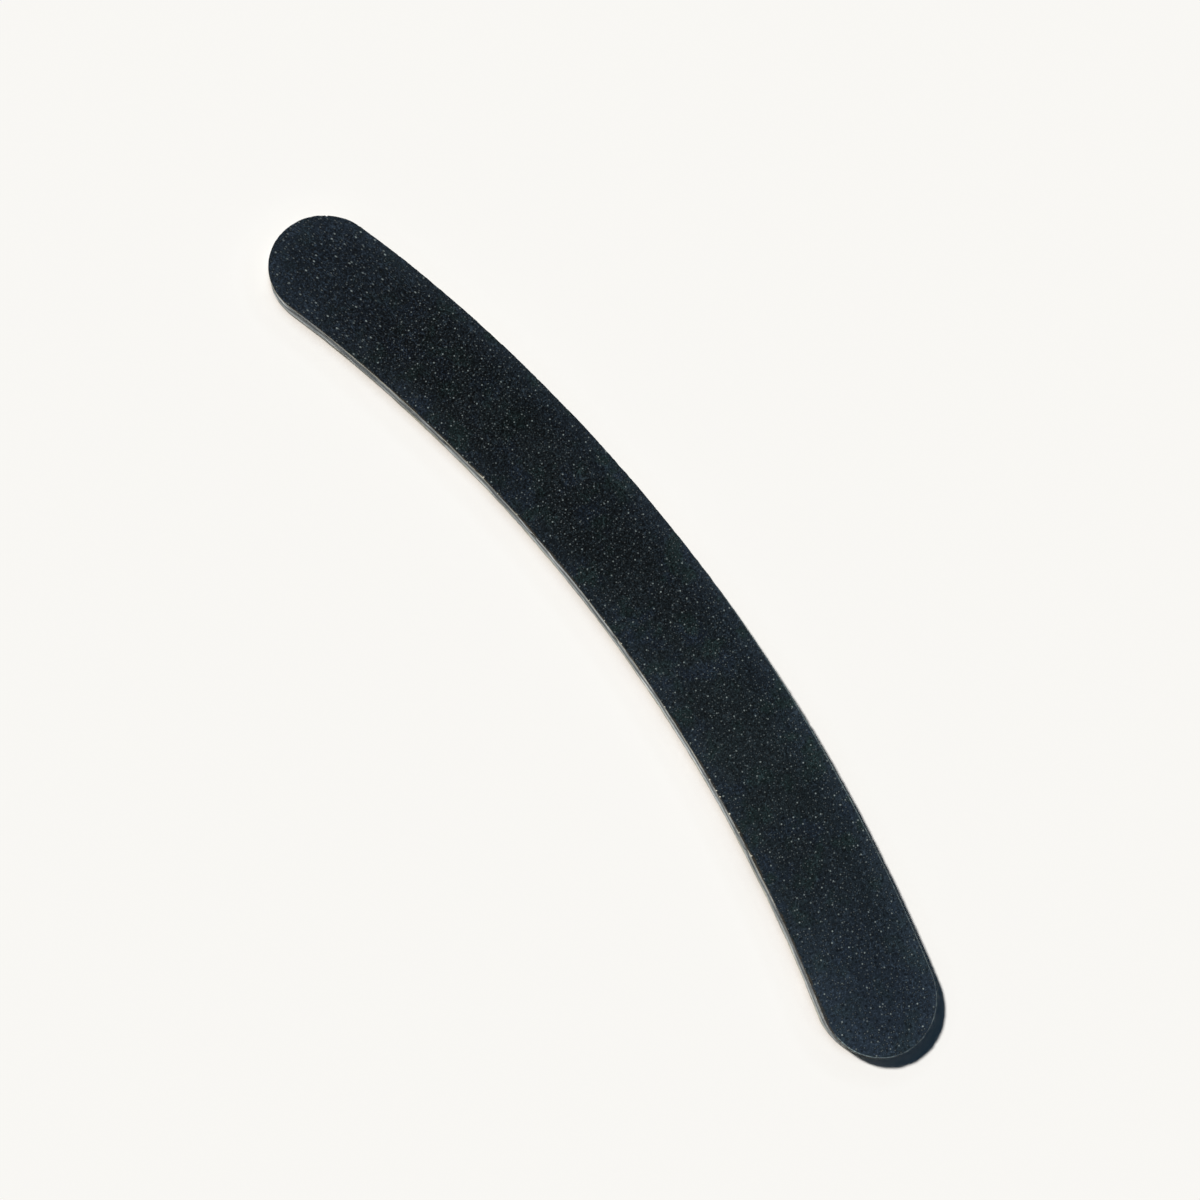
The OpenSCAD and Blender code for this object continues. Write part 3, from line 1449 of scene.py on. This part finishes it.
RESIN = LayerFinish(
    name="bond_resin",
    gloss=0.5,
    colour=(0.018, 0.020, 0.022),
    smear=(0.045, 0.050, 0.052),
    speck=(0.008, 0.009, 0.010),
    roughness=(0.32, 0.5),
    relief=0.01 * MM,
)
PAPER = LayerFinish(
    name="backing_paper",
    gloss=0.25,
    colour=(0.046, 0.038, 0.028),
    smear=(0.018, 0.016, 0.014),
    speck=(0.14, 0.13, 0.10),
    speck_share=0.12,
    roughness=(0.75, 0.9),
)
CLEAN_PAPER = LayerFinish(
    name="clean_paper",
    gloss=0.25,
    colour=(0.30, 0.275, 0.215),
    smear=(0.16, 0.145, 0.11),
    speck=(0.40, 0.38, 0.32),
    speck_share=0.12,
    roughness=(0.75, 0.9),
)
TORN_PAPER = LayerFinish(
    name="torn_paper",
    gloss=0.2,
    colour=(0.72, 0.70, 0.60),
    smear=(0.52, 0.49, 0.40),
    speck=(0.60, 0.57, 0.48),
    speck_share=0.2,
    roughness=(0.8, 0.95),
)
FILM = LayerFinish(
    name="adhesive_film",
    gloss=0.45,
    colour=(0.54, 0.52, 0.41),
    smear=(0.27, 0.265, 0.22),
    speck=(0.72, 0.71, 0.62),
    speck_share=0.15,
    roughness=(0.35, 0.6),
    relief=0.008 * MM,
)
FOAM = LayerFinish(
    name="foam",
    gloss=0.2,
    colour=(0.56, 0.60, 0.61),
    smear=(0.40, 0.435, 0.44),
    speck=(0.22, 0.24, 0.245),
    patch=(0.20, 0.225, 0.235),
    pale=(0.88, 0.90, 0.89),
    patch_share=0.6,
    right_shade=0.74,
    slate_share=0.7,
    speck_scale=4200.0,
    speck_share=0.35,
    line_share=0.05,
    roughness=(0.8, 0.95),
    relief=0.03 * MM,
    # Painted shade at the top of the pad, under the sheet's overhang.
    soil=(0.042, 0.040, 0.036),
    soil_share=0.92,
)
CORE_FILM = LayerFinish(
    name="core_film",
    gloss=0.45,
    colour=(0.20, 0.21, 0.20),
    smear=(0.09, 0.10, 0.10),
    speck=(0.5, 0.5, 0.45),
    speck_share=0.1,
    roughness=(0.35, 0.6),
    relief=0.006 * MM,
)
CORE = LayerFinish(
    name="core_plastic",
    gloss=0.4,
    colour=(0.050, 0.060, 0.068),
    smear=(0.030, 0.037, 0.043),
    speck=(0.15, 0.17, 0.17),
    speck_share=0.2,
    patch=(0.10, 0.115, 0.12),
    pale=(0.30, 0.33, 0.34),
    patch_share=0.5,
    roughness=(0.4, 0.65),
    mark_scale=2600.0,
    line_share=0.08,
    relief=0.015 * MM,
)


@dataclass
class Workshop:
    """What every sub-assembly needs to make its pieces."""

    outline: Outline
    mould: Mould
    effects: Effects
    rim: Rim
    finished: dict[Finish, bpy.types.Material] = field(default_factory=dict)

    def finish(self, finish: Finish) -> bpy.types.Material:
        """Finds the material of a finish, and builds it the first time.

        Args:
            finish: the finish.

        Returns:
            Its material.
        """
        if finish not in self.finished:
            self.finished[finish] = finish.material(self.effects)
        return self.finished[finish]

    def hand_over(self, piece: bpy.types.Object, node: str, slot: str) -> bpy.types.Object:
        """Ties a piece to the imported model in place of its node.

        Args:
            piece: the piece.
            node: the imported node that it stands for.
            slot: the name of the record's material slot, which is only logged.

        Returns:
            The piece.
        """
        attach(piece, BODY)
        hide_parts(node)
        log.info("%s: %d faces, slot %s", piece.name, len(piece.data.polygons), slot)
        return piece


def span_of(node: str) -> tuple[float, float]:
    """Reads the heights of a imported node's lower and upper face."""
    low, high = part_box(node)
    return low.z, high.z


@dataclass
class Layer:
    """A flat layer that shows only at its cut edge."""

    node: str
    slot: str
    finish: LayerFinish
    lower_inset: np.ndarray
    upper_inset: np.ndarray
    raggedness: float
    levels: int = 3
    recess: float = 0.0
    pores: float = 0.0
    tear_size: float = 0.6 * MM
    pore_size: float = 0.35 * MM

    def inset(self, rim: Rim, step: float) -> np.ndarray:
        """Shapes the wall at one level.

        Args:
            rim: the cut edge.
            step: the level, from 0 at the lower border to 1 at the upper one.

        Returns:
            How far each rim point lies inside the cut.
        """
        inset = self.lower_inset + (self.upper_inset - self.lower_inset) * step
        inset = inset + self.recess * math.sqrt(math.sin(math.pi * step) + TINY)
        if self.pores and 0.0 < step < 1.0:
            inset = inset + np.abs(rim.wander(self.pore_size, self.pores))
        return inset + rim.wander(self.tear_size, self.raggedness)

    def build(self, shop: Workshop) -> bpy.types.Object:
        """Builds the layer as a closed mesh with a shaped wall, and dresses it.

        Args:
            shop: the outline, the rim and the effects.

        Returns:
            The finished piece.
        """
        low, high = span_of(self.node)
        rim = shop.rim
        lower, upper = rim.border(low), rim.border(high)
        shape = Shape()
        centre_low = shape.points(rim.line(FLAT_INSET, low), rim.place)
        rings = []
        for step in np.linspace(0, 1, self.levels):
            height = lower + (upper - lower) * step
            rings.append(shape.points(rim.line(self.inset(rim, step), height), rim.place))
        centre_high = shape.points(rim.line(FLAT_INSET, high), rim.place)
        shape.ladder(centre_low, Part.LOWER)
        shape.wall(centre_low, rings[0], Part.LOWER)
        for below, above in zip(rings, rings[1:]):
            shape.wall(below, above)
        shape.wall(rings[-1], centre_high, Part.UPPER)
        shape.ladder(centre_high, Part.UPPER)
        piece = shop.mould.cast(self.node + "_piece", shape, shop.finish(self.finish), True)
        return shop.hand_over(piece, self.node, self.slot)


@dataclass
class GritCoat:
    """The coat of abrasive grains: a rough face of small facets, with a crushed, bevelled rim."""

    side: Side
    seed: int
    finish: GritFinish = field(default_factory=GritFinish)
    grain_spacing: float = 0.207 * MM
    grain_scatter: float = 0.34
    rim_margin: float = 0.6
    grain_height: float = 0.022 * MM
    tall_grain: float = 0.035 * MM
    tall_share: float = 0.04
    sunk: float = 0.03 * MM
    bevel_width: float = 0.13 * MM
    bevel_depth: float = 0.05 * MM

    @property
    def node(self) -> str:
        """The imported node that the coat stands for."""
        return self.side.prefix + "grit_layer"

    def scatter(self, outline: Outline) -> np.ndarray:
        """Scatters the tips and hollows of the grains over the face and a little beyond it.

        Args:
            outline: the band that they lie on.

        Returns:
            Rows with the distances along and across the band, from left to right.
        """
        draw = np.random.default_rng(self.seed)
        half_length = outline.length / 2 + outline.half_width
        half_width = outline.half_width + self.grain_spacing
        along = np.arange(-half_length, half_length, self.grain_spacing)
        across = np.arange(-half_width, half_width, self.grain_spacing * math.sqrt(3) / 2)
        grid_along, grid_across = np.meshgrid(along, across)
        grid_along[1::2] += self.grain_spacing / 2
        places = np.column_stack([grid_along.ravel(), grid_across.ravel()])
        shift = draw.uniform(-self.grain_scatter, self.grain_scatter, places.shape)
        places += shift * self.grain_spacing
        places = places[outline.inset_of(places) > -self.grain_spacing]
        return places[np.argsort(places[:, 0])]

    def edge_at(self, shop: Workshop, places: np.ndarray, edge: np.ndarray) -> np.ndarray:
        """Finds the inset of the face's edge at the rim point nearest to each place.

        Args:
            shop: the outline and the rim.
            places: rows with the distances along and across the band.
            edge: the inset of the face's edge round the rim.

        Returns:
            One inset for each place.
        """
        outline = shop.outline
        quarter = math.pi / 2 * outline.half_width
        along, across = places[:, 0], places[:, 1]
        beyond = np.maximum(np.abs(along) - outline.straight, 0)
        turn = np.arctan2(beyond, np.abs(across)) * outline.half_width
        held = np.clip(along, -outline.straight, outline.straight)
        convex = quarter + outline.straight + held + np.sign(along) * turn
        place = np.where(across >= 0, convex, outline.perimeter - convex)
        return np.interp(place, shop.rim.place, edge, period=outline.perimeter)

    def facets(self, flat: np.ndarray, count: int) -> tuple[np.ndarray, np.ndarray]:
        """Joins the face's points to triangles that look away from the core.

        Args:
            flat: rows with the distances along and across the band, the rim's points first.
            count: how many of them lie on the rim.

        Returns:
            The points, and rows of three point numbers.
        """
        ring = [(number, (number + 1) % count) for number in range(count)]
        points = [Vector(point) for point in flat / MM]
        found = delaunay_2d_cdt(points, ring, [], INSIDE_RING, JOINING_REACH)
        flat = np.array([point[:] for point in found[0]]) * MM
        triangles = np.array(found[2])
        first, second, third = (flat[triangles[:, corner]] for corner in range(3))
        turn = (second[:, 0] - first[:, 0]) * (third[:, 1] - first[:, 1])
        turn -= (second[:, 1] - first[:, 1]) * (third[:, 0] - first[:, 0])
        wrong = (turn < 0) == (self.side is Side.TOP)
        triangles[wrong] = triangles[wrong][:, ::-1]
        return flat, triangles

    def depths(self, inset: np.ndarray) -> np.ndarray:
        """Draws how far the face's points lie below its full height.

        Args:
            inset: each point's distance from the face's edge.

        Returns:
            One depth for each point.
        """
        draw = np.random.default_rng(self.seed + 1)
        depth = self.sunk + draw.standard_normal(len(inset)) * self.grain_height
        tall = draw.random(len(inset)) < self.tall_share
        depth[tall] -= self.tall_grain * draw.random(tall.sum())
        bevel = np.clip(1 - inset / self.bevel_width, 0, 1)
        return np.clip(depth, 0.0, None) * (1 - bevel) + self.bevel_depth * bevel

    def build(self, shop: Workshop, edge: np.ndarray, under: np.ndarray) -> bpy.types.Object:
        """Builds the coat as one closed mesh, and dresses it.

        Args:
            shop: the outline, the rim and the effects.
            edge: the inset of the face's edge round the rim.
            under: the inset of the coat's inner face round the rim.

        Returns:
            The finished piece.
        """
        on_top = self.side is Side.TOP
        low, high = span_of(self.node)
        face, inner = (high, low) if on_top else (low, high)
        rim = shop.rim
        grains = self.scatter(shop.outline)
        inside = shop.outline.inset_of(grains) - self.edge_at(shop, grains, edge - rim.swell)
        kept = inside > self.grain_spacing * self.rim_margin
        rim_flat = rim.line(edge, 0.0)[:, :2]
        count = len(rim_flat)
        flat, triangles = self.facets(np.concatenate([rim_flat, grains[kept]]), count)
        depth = self.depths(np.concatenate([np.zeros(count), inside[kept]]))
        height = face - self.side.value * depth
        shape = Shape()
        place = np.zeros(len(flat))
        place[:count] = rim.place
        ring = shape.points(np.column_stack([flat, height]), place)[:count]
        shape.add(triangles, Part.UPPER if on_top else Part.LOWER)
        inner_edge = shape.points(rim.line(under, rim.border(inner)), rim.place)
        inner_flat = shape.points(rim.line(FLAT_INSET, inner), rim.place)
        if on_top:
            shape.wall(inner_edge, ring)
            shape.wall(inner_flat, inner_edge, Part.LOWER)
            shape.ladder(inner_flat, Part.LOWER)
        else:
            shape.wall(ring, inner_edge)
            shape.wall(inner_edge, inner_flat, Part.UPPER)
            shape.ladder(inner_flat, Part.UPPER)
        piece = shop.mould.cast(self.node + "_piece", shape, shop.finish(self.finish), False)
        return shop.hand_over(piece, self.node, "abrasive_grit")


@dataclass
class PaperShreds:
    """The shreds of torn backing paper that curl up at the rim."""

    side: Side
    thickness: float = 0.045 * MM
    root: float = 0.24 * MM
    root_inset: float = 0.06 * MM
    rise: float = 0.04 * MM
    fall: float = 1.5
    bulge: float = 0.14 * MM
    curl: float = 0.75 * math.pi
    taper: float = 0.65
    skew: float = 0.3
    ripple: float = 0.25
    ripple_turn: float = 9.0
    stations: int = 5

    def shred(self, shop: Workshop, shape: Shape, shred: Shred, face: float) -> None:
        """Adds one shred, a tapering strip that curls from the rim over the face.

        Args:
            shop: the outline, the rim and the effects.
            shape: the mesh that it is added to.
            shred: its place and size.
            face: the height of the board's face.
        """
        rings = []
        centre = shop.outline.place_of(shred.along, shred.edge)
        chance = centre / MM
        swell = np.interp(centre, shop.rim.place, shop.rim.swell)
        for step in np.linspace(0, 1, self.stations):
            turn = step * self.curl
            inset = self.root_inset - self.bulge * math.sin(turn) + shred.reach * step**2
            drop = self.root * (1 - step) ** self.fall - self.rise * math.sin(math.pi * step / 2)
            ripple = 1 + self.ripple * math.sin(self.ripple_turn * step + chance)
            half = shred.width / 2 * (1 - self.taper * step) * ripple
            skew = self.skew * shred.width * step * math.sin(chance)
            place = centre + skew + np.array([-half, half, half, -half])
            lean = self.thickness / 2 * np.array([-1, -1, 1, 1])
            insets = inset - swell + lean * math.cos(turn)
            heights = face - self.side.value * (drop - lean * math.sin(turn))
            flat = shop.outline.rim_at(place, insets)
            rings.append(shape.points(np.column_stack([flat, heights]), place))
        faces = [rings[0][::-1], rings[-1]]
        for below, above in zip(rings, rings[1:]):
            for corner in range(4):
                following = (corner + 1) % 4
                faces.append([below[corner], below[following], above[following], above[corner]])
        faces = np.array(faces)
        shape.add(faces if self.side is Side.TOP else faces[:, ::-1], Part.RIM)

    def build(self, shop: Workshop) -> bpy.types.Object:
        """Builds all shreds as one piece, and dresses it.

        Args:
            shop: the outline, the rim and the effects.

        Returns:
            The finished piece.
        """
        node = self.side.prefix + "backing_paper"
        low, high = span_of(self.side.prefix + "grit_layer")
        face = high if self.side is Side.TOP else low
        shape = Shape()
        for shred in SHREDS:
            self.shred(shop, shape, shred, face)
        piece = shop.mould.cast(node + "_shreds", shape, shop.finish(TORN_PAPER), True)
        return shop.hand_over(piece, node, "backing_paper")


class Assembly(ABC):
    """A sub-assembly of the board."""

    @abstractmethod
    def build(self, shop: Workshop) -> list[bpy.types.Object]:
        """Builds and dresses the sub-assembly's pieces."""


@dataclass
class AbrasiveSheet(Assembly):
    """One face of the board: grains on a resin coat, on backing paper, on adhesive film."""

    side: Side
    seed: int
    face: Trim = Trim(0.015 * MM, 1.0, 1.0)
    grit: Trim = Trim(0.012 * MM, 0.5, 0.9)
    resin: Trim = Trim(0.010 * MM, 0.3, 0.8)
    paper: Trim = Trim(0.010 * MM, 0.0, 0.35, -0.7)
    film: Trim = Trim(0.012 * MM, 0.0, 0.0, -1.0)
    chip_bites: Bites = Bites(5 * MM, 0.6 * MM, 0.03 * MM)
    burr_bites: Bites = Bites(9 * MM, 0.35 * MM, 0.03 * MM)
    burr_chips: float = 0.6
    fine_crumbs: Wave = Wave(0.45 * MM, 0.022 * MM)
    coarse_crumbs: Wave = Wave(3 * MM, 0.03 * MM)
    paper_wave: Wave = Wave(0.5 * MM, 0.008 * MM)
    film_tears: Wave = Wave(0.8 * MM, 0.008 * MM)
    film_wave: Wave = Wave(6 * MM, 0.03 * MM)
    raggedness: float = 0.003 * MM
    coat_levels: int = 2
    levels: int = 3

    def borders(self, rim: Rim) -> tuple[np.ndarray, ...]:
        """Works out where the die has cut each layer.

        Args:
            rim: the cut edge.

        Returns:
            The insets of the face's edge and of the borders under the four layers.
        """
        chips = rim.damage(Wear.CHIP, self.side) + rim.nibbles(*self.chip_bites)
        burrs = rim.damage(Wear.BURR, self.side) + rim.nibbles(*self.burr_bites)
        chips = chips + burrs * self.burr_chips
        crumbs = np.abs(rim.wander(*self.fine_crumbs)) + np.abs(rim.wander(*self.coarse_crumbs))
        face, grit, resin, paper, film = (
            trim.inset + crumbs * trim.crumbs + chips * trim.chips + burrs * trim.burrs
            for trim in (self.face, self.grit, self.resin, self.paper, self.film)
        )
        paper = paper + rim.wander(*self.paper_wave)
        film = film + np.abs(rim.wander(*self.film_tears)) + rim.wander(*self.film_wave)
        return face, grit, resin, paper, film

    def build(self, shop: Workshop) -> list[bpy.types.Object]:
        """Builds and dresses the sheet's four layers and, on the top, its shreds.

        Args:
            shop: the outline, the rim and the effects.

        Returns:
            The pieces, from the face inwards.
        """
        on_top = self.side is Side.TOP
        face, grit, resin, paper, film = self.borders(shop.rim)
        pieces = [GritCoat(self.side, self.seed).build(shop, face, grit)]
        stock = PAPER if on_top else CLEAN_PAPER
        rows = (
            ("bond_coat", "bond_resin", RESIN, grit, resin, self.coat_levels),
            ("backing_paper", "backing_paper", stock, resin, paper, self.levels),
            ("adhesive_film", "adhesive_film", FILM, paper, film, self.levels),
        )
        for name, slot, finish, outer, inner, levels in rows:
            lower, upper = (inner, outer) if on_top else (outer, inner)
            node = self.side.prefix + name
            layer = Layer(node, slot, finish, lower, upper, self.raggedness, levels)
            pieces.append(layer.build(shop))
        if on_top:
            pieces.append(PaperShreds(self.side).build(shop))
        return pieces


@dataclass
class FoamPad(Assembly):
    """A foam pad and the film that holds it to the core."""

    side: Side
    recess: float = 0.08 * MM
    pores: float = 0.005 * MM
    edge_inset: float = 0.045 * MM
    long_wave: Wave = Wave(5 * MM, 0.035 * MM)
    short_wave: Wave = Wave(1.5 * MM, 0.012 * MM)
    raggedness: float = 0.004 * MM
    levels: int = 11
    film_inset: float = 0.02 * MM
    film_dents: float = 0.6
    film_raggedness: float = 0.006 * MM
    film_levels: int = 2

    def build(self, shop: Workshop) -> list[bpy.types.Object]:
        """Builds and dresses the pad and its film.

        Args:
            shop: the outline, the rim and the effects.

        Returns:
            The two pieces.
        """
        rim = shop.rim
        dents = rim.damage(Wear.DENT, self.side)
        waves = rim.wander(*self.long_wave) + rim.wander(*self.short_wave)
        edge = self.edge_inset + waves + dents
        pad = Layer(
            self.side.prefix + "foam_pad",
            "foam",
            FOAM,
            edge,
            edge,
            self.raggedness,
            self.levels,
            self.recess,
            self.pores,
        ).build(shop)
        edge = self.film_inset + dents * self.film_dents
        film = Layer(
            self.side.prefix + "core_film",
            "core_film",
            CORE_FILM,
            edge,
            edge,
            self.film_raggedness,
            self.film_levels,
        ).build(shop)
        return [pad, film]


@dataclass
class CoreBoard(Assembly):
    """The stiff plastic core, cut with a slightly torn edge."""

    inset: float = 0.012 * MM
    tears: Wave = Wave(1.5 * MM, 0.012 * MM)
    long_wave: Wave = Wave(7 * MM, 0.045 * MM)
    dents: float = 0.5
    raggedness: float = 0.006 * MM
    levels: int = 6

    def build(self, shop: Workshop) -> list[bpy.types.Object]:
        """Builds and dresses the core.

        Args:
            shop: the outline, the rim and the effects.

        Returns:
            The one piece, in a list.
        """
        rim = shop.rim
        dents = rim.damage(Wear.DENT, Side.TOP) * self.dents
        edge = self.inset + np.abs(rim.wander(*self.tears)) + rim.wander(*self.long_wave) + dents
        core = Layer("core_board", "core_plastic", CORE, edge, edge, self.raggedness, self.levels)
        return [core.build(shop)]


@dataclass
class EmeryBoard:
    """The whole board, from the face that it lies on to the face that shows."""

    outline: Outline = field(default_factory=Outline)
    rim_seed: int = 41
    bottom_seed: int = 51
    top_seed: int = 61

    def build(self) -> list[bpy.types.Object]:
        """Builds every piece.

        Returns:
            The pieces, from the lower sheet to the upper one.
        """
        outline = self.outline
        shop = Workshop(outline, Mould(outline), Effects(outline), Rim(outline, self.rim_seed))
        assemblies = (
            AbrasiveSheet(Side.BOTTOM, self.bottom_seed),
            FoamPad(Side.BOTTOM),
            CoreBoard(),
            FoamPad(Side.TOP),
            AbrasiveSheet(Side.TOP, self.top_seed),
        )
        pieces = [piece for assembly in assemblies for piece in assembly.build(shop)]
        log.info("emery board: %d pieces", len(pieces))
        return pieces


@dataclass(frozen=True)
class Lamp:
    """A distant lamp, placed by where its light comes from.

    The azimuth is counted from +X towards +Y. The angles are in degrees.
    """

    name: str
    azimuth: float
    elevation: float
    spread: float
    strength: float
    colour: Colour

    def build(self) -> bpy.types.Object:
        """Makes the lamp.

        Returns:
            The lamp, linked to the scene.
        """
        light = bpy.data.lights.new(self.name, "SUN")
        light.angle = math.radians(self.spread)
        light.energy = self.strength
        light.color = self.colour
        lamp = bpy.data.objects.new(self.name, light)
        side, rise = math.radians(self.azimuth), math.radians(self.elevation)
        flat = math.cos(rise)
        towards = Vector((flat * math.cos(side), flat * math.sin(side), math.sin(rise)))
        lamp.rotation_euler = towards.to_track_quat("Z", "Y").to_euler()
        bpy.context.scene.collection.objects.link(lamp)
        return lamp


@dataclass(frozen=True)
class Camera:
    """The camera, aimed at a point of the floor.

    The azimuth is counted from -Y towards +X. The angles are in degrees, and the lens and the
    sensor in millimetres.
    """

    aim: tuple[float, float, float] = (-2.186 * MM, -1.729 * MM, 0.0)
    distance: float = 248.489 * MM
    azimuth: float = 24.475
    elevation: float = 74.630
    roll: float = -29.011
    lens: float = 42.507
    sensor: float = 36.0
    nearest: float = 5 * MM
    farthest: float = 20.0

    def build(self) -> bpy.types.Object:
        """Makes the scene's camera.

        Returns:
            The camera, linked to the scene.
        """
        side, rise, turn = (math.radians(angle) for angle in (self.azimuth, self.elevation, self.roll))
        flat = math.cos(rise)
        back = Vector((math.sin(side) * flat, -math.cos(side) * flat, math.sin(rise)))
        upright = (Vector((0, 0, 1)) - back * back.z).normalized()
        level = upright.cross(back)
        up = upright * math.cos(turn) + level * math.sin(turn)
        right = up.cross(back)
        data = bpy.data.cameras.new("camera")
        data.lens = self.lens
        data.sensor_width = self.sensor
        data.clip_start = self.nearest
        data.clip_end = self.farthest
        camera = bpy.data.objects.new("camera", data)
        axes = Matrix((right, up, back)).transposed().to_4x4()
        camera.matrix_world = Matrix.Translation(Vector(self.aim) + back * self.distance) @ axes
        bpy.context.scene.collection.objects.link(camera)
        bpy.context.scene.camera = camera
        return camera


@dataclass(frozen=True)
class Studio:
    """The pale floor, the lamp, the sky light and the camera."""

    floor_colour: Colour = (0.949, 0.937, 0.911)
    seen_colour: Colour = (0.944, 0.931, 0.900)
    sky_colour: Colour = (0.006, 0.018, 0.034)
    floor_size: float = 6.0
    key: Lamp = Lamp("key_lamp", 197.8, 47.6, 5.5, 4.208, (1.0, 0.988, 0.968))
    shade_reach: float = 6 * MM
    shade_samples: int = 8
    shade_towards: tuple[float, float, float] = (-0.08, 0.22, 0.97)
    shades: tuple[tuple[float, Colour], ...] = (
        (0.375, (0.700, 0.655, 0.605)),
        (0.500, (0.842, 0.812, 0.800)),
        (0.625, (0.955, 0.949, 0.945)),
        (0.750, (0.965, 0.957, 0.953)),
        (0.875, (0.979, 0.976, 0.973)),
        (1.00, (1.0, 1.0, 1.0)),
    )

    def build(self) -> None:
        """Makes everything round the board."""
        bpy.context.scene.view_settings.view_transform = "Standard"
        Camera().build()
        self.key.build()
        self.build_floor()
        self.build_sky()

    def build_floor(self) -> None:
        """Makes the floor, a broad plain sheet."""
        half = self.floor_size / 2
        corners = [(-half, -half, 0), (half, -half, 0), (half, half, 0), (-half, half, 0)]
        mesh = bpy.data.meshes.new("floor")
        mesh.from_pydata(corners, [], [range(4)])
        mesh.materials.append(self.floor_card())
        floor = bpy.data.objects.new("floor", mesh)
        bpy.context.scene.collection.objects.link(floor)

    def floor_shade(self, graph: Graph) -> Socket:
        """Finds how the floor darkens and warms close to the board.

        Args:
            graph: the graph of the floor's card.

        Returns:
            The colour that the floor's own colour is multiplied by.
        """
        near = graph.add("ShaderNodeAmbientOcclusion", samples=self.shade_samples)
        graph.feed(near.inputs["Distance"], self.shade_reach)
        graph.feed(near.inputs["Normal"], graph.join(*self.shade_towards))
        ramp = graph.add("ShaderNodeValToRGB")
        stops = ramp.color_ramp.elements
        for place, _ in self.shades[1:-1]:
            stops.new(place)
        for stop, (place, shade) in zip(stops, self.shades):
            stop.position = place
            stop.color = (*shade, 1.0)
        graph.feed(ramp.inputs["Fac"], near.outputs["AO"])
        return ramp.outputs["Color"]

    def floor_card(self) -> bpy.types.Material:
        """Makes the floor's card, on which only the camera sees the shade close to the board.

        Returns:
            The material.
        """
        material = bpy.data.materials.new("floor_card")
        material.use_nodes = True
        nodes = material.node_tree.nodes
        graph = Graph(material.node_tree)
        nodes.remove(nodes["Principled BSDF"])
        shade = graph.mix(1.0, self.floor_colour, self.floor_shade(graph), "MULTIPLY")
        path = graph.add("ShaderNodeLightPath")
        either = graph.add("ShaderNodeMixShader")
        graph.feed(either.inputs[0], path.outputs["Is Camera Ray"])
        for socket, colour in zip(either.inputs[1:], (self.floor_colour, shade)):
            card = graph.add("ShaderNodeBsdfDiffuse")
            graph.feed(card.inputs["Color"], colour)
            graph.feed(socket, card.outputs[0])
        graph.feed(nodes["Material Output"].inputs["Surface"], either.outputs[0])
        return material

    def build_sky(self) -> None:
        """Lights the board with a dim sky, which the camera and gloss see as the floor's colour."""
        world = bpy.data.worlds.new("studio_sky")
        bpy.context.scene.world = world
        world.use_nodes = True
        graph = Graph(world.node_tree)
        background = world.node_tree.nodes["Background"]
        path = graph.add("ShaderNodeLightPath")
        seen = graph.math("MAXIMUM", path.outputs["Is Camera Ray"], path.outputs["Is Glossy Ray"])
        seen = graph.math("MAXIMUM", seen, path.outputs["Is Transmission Ray"])
        graph.feed(background.inputs["Color"], graph.mix(seen, self.sky_colour, self.seen_colour))


def main() -> None:
    """Builds the board and the studio."""
    logging.basicConfig(level=logging.INFO, format="%(name)s: %(message)s")
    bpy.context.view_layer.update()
    Studio().build()
    EmeryBoard().build()


if __name__ == "__main__":
    main()
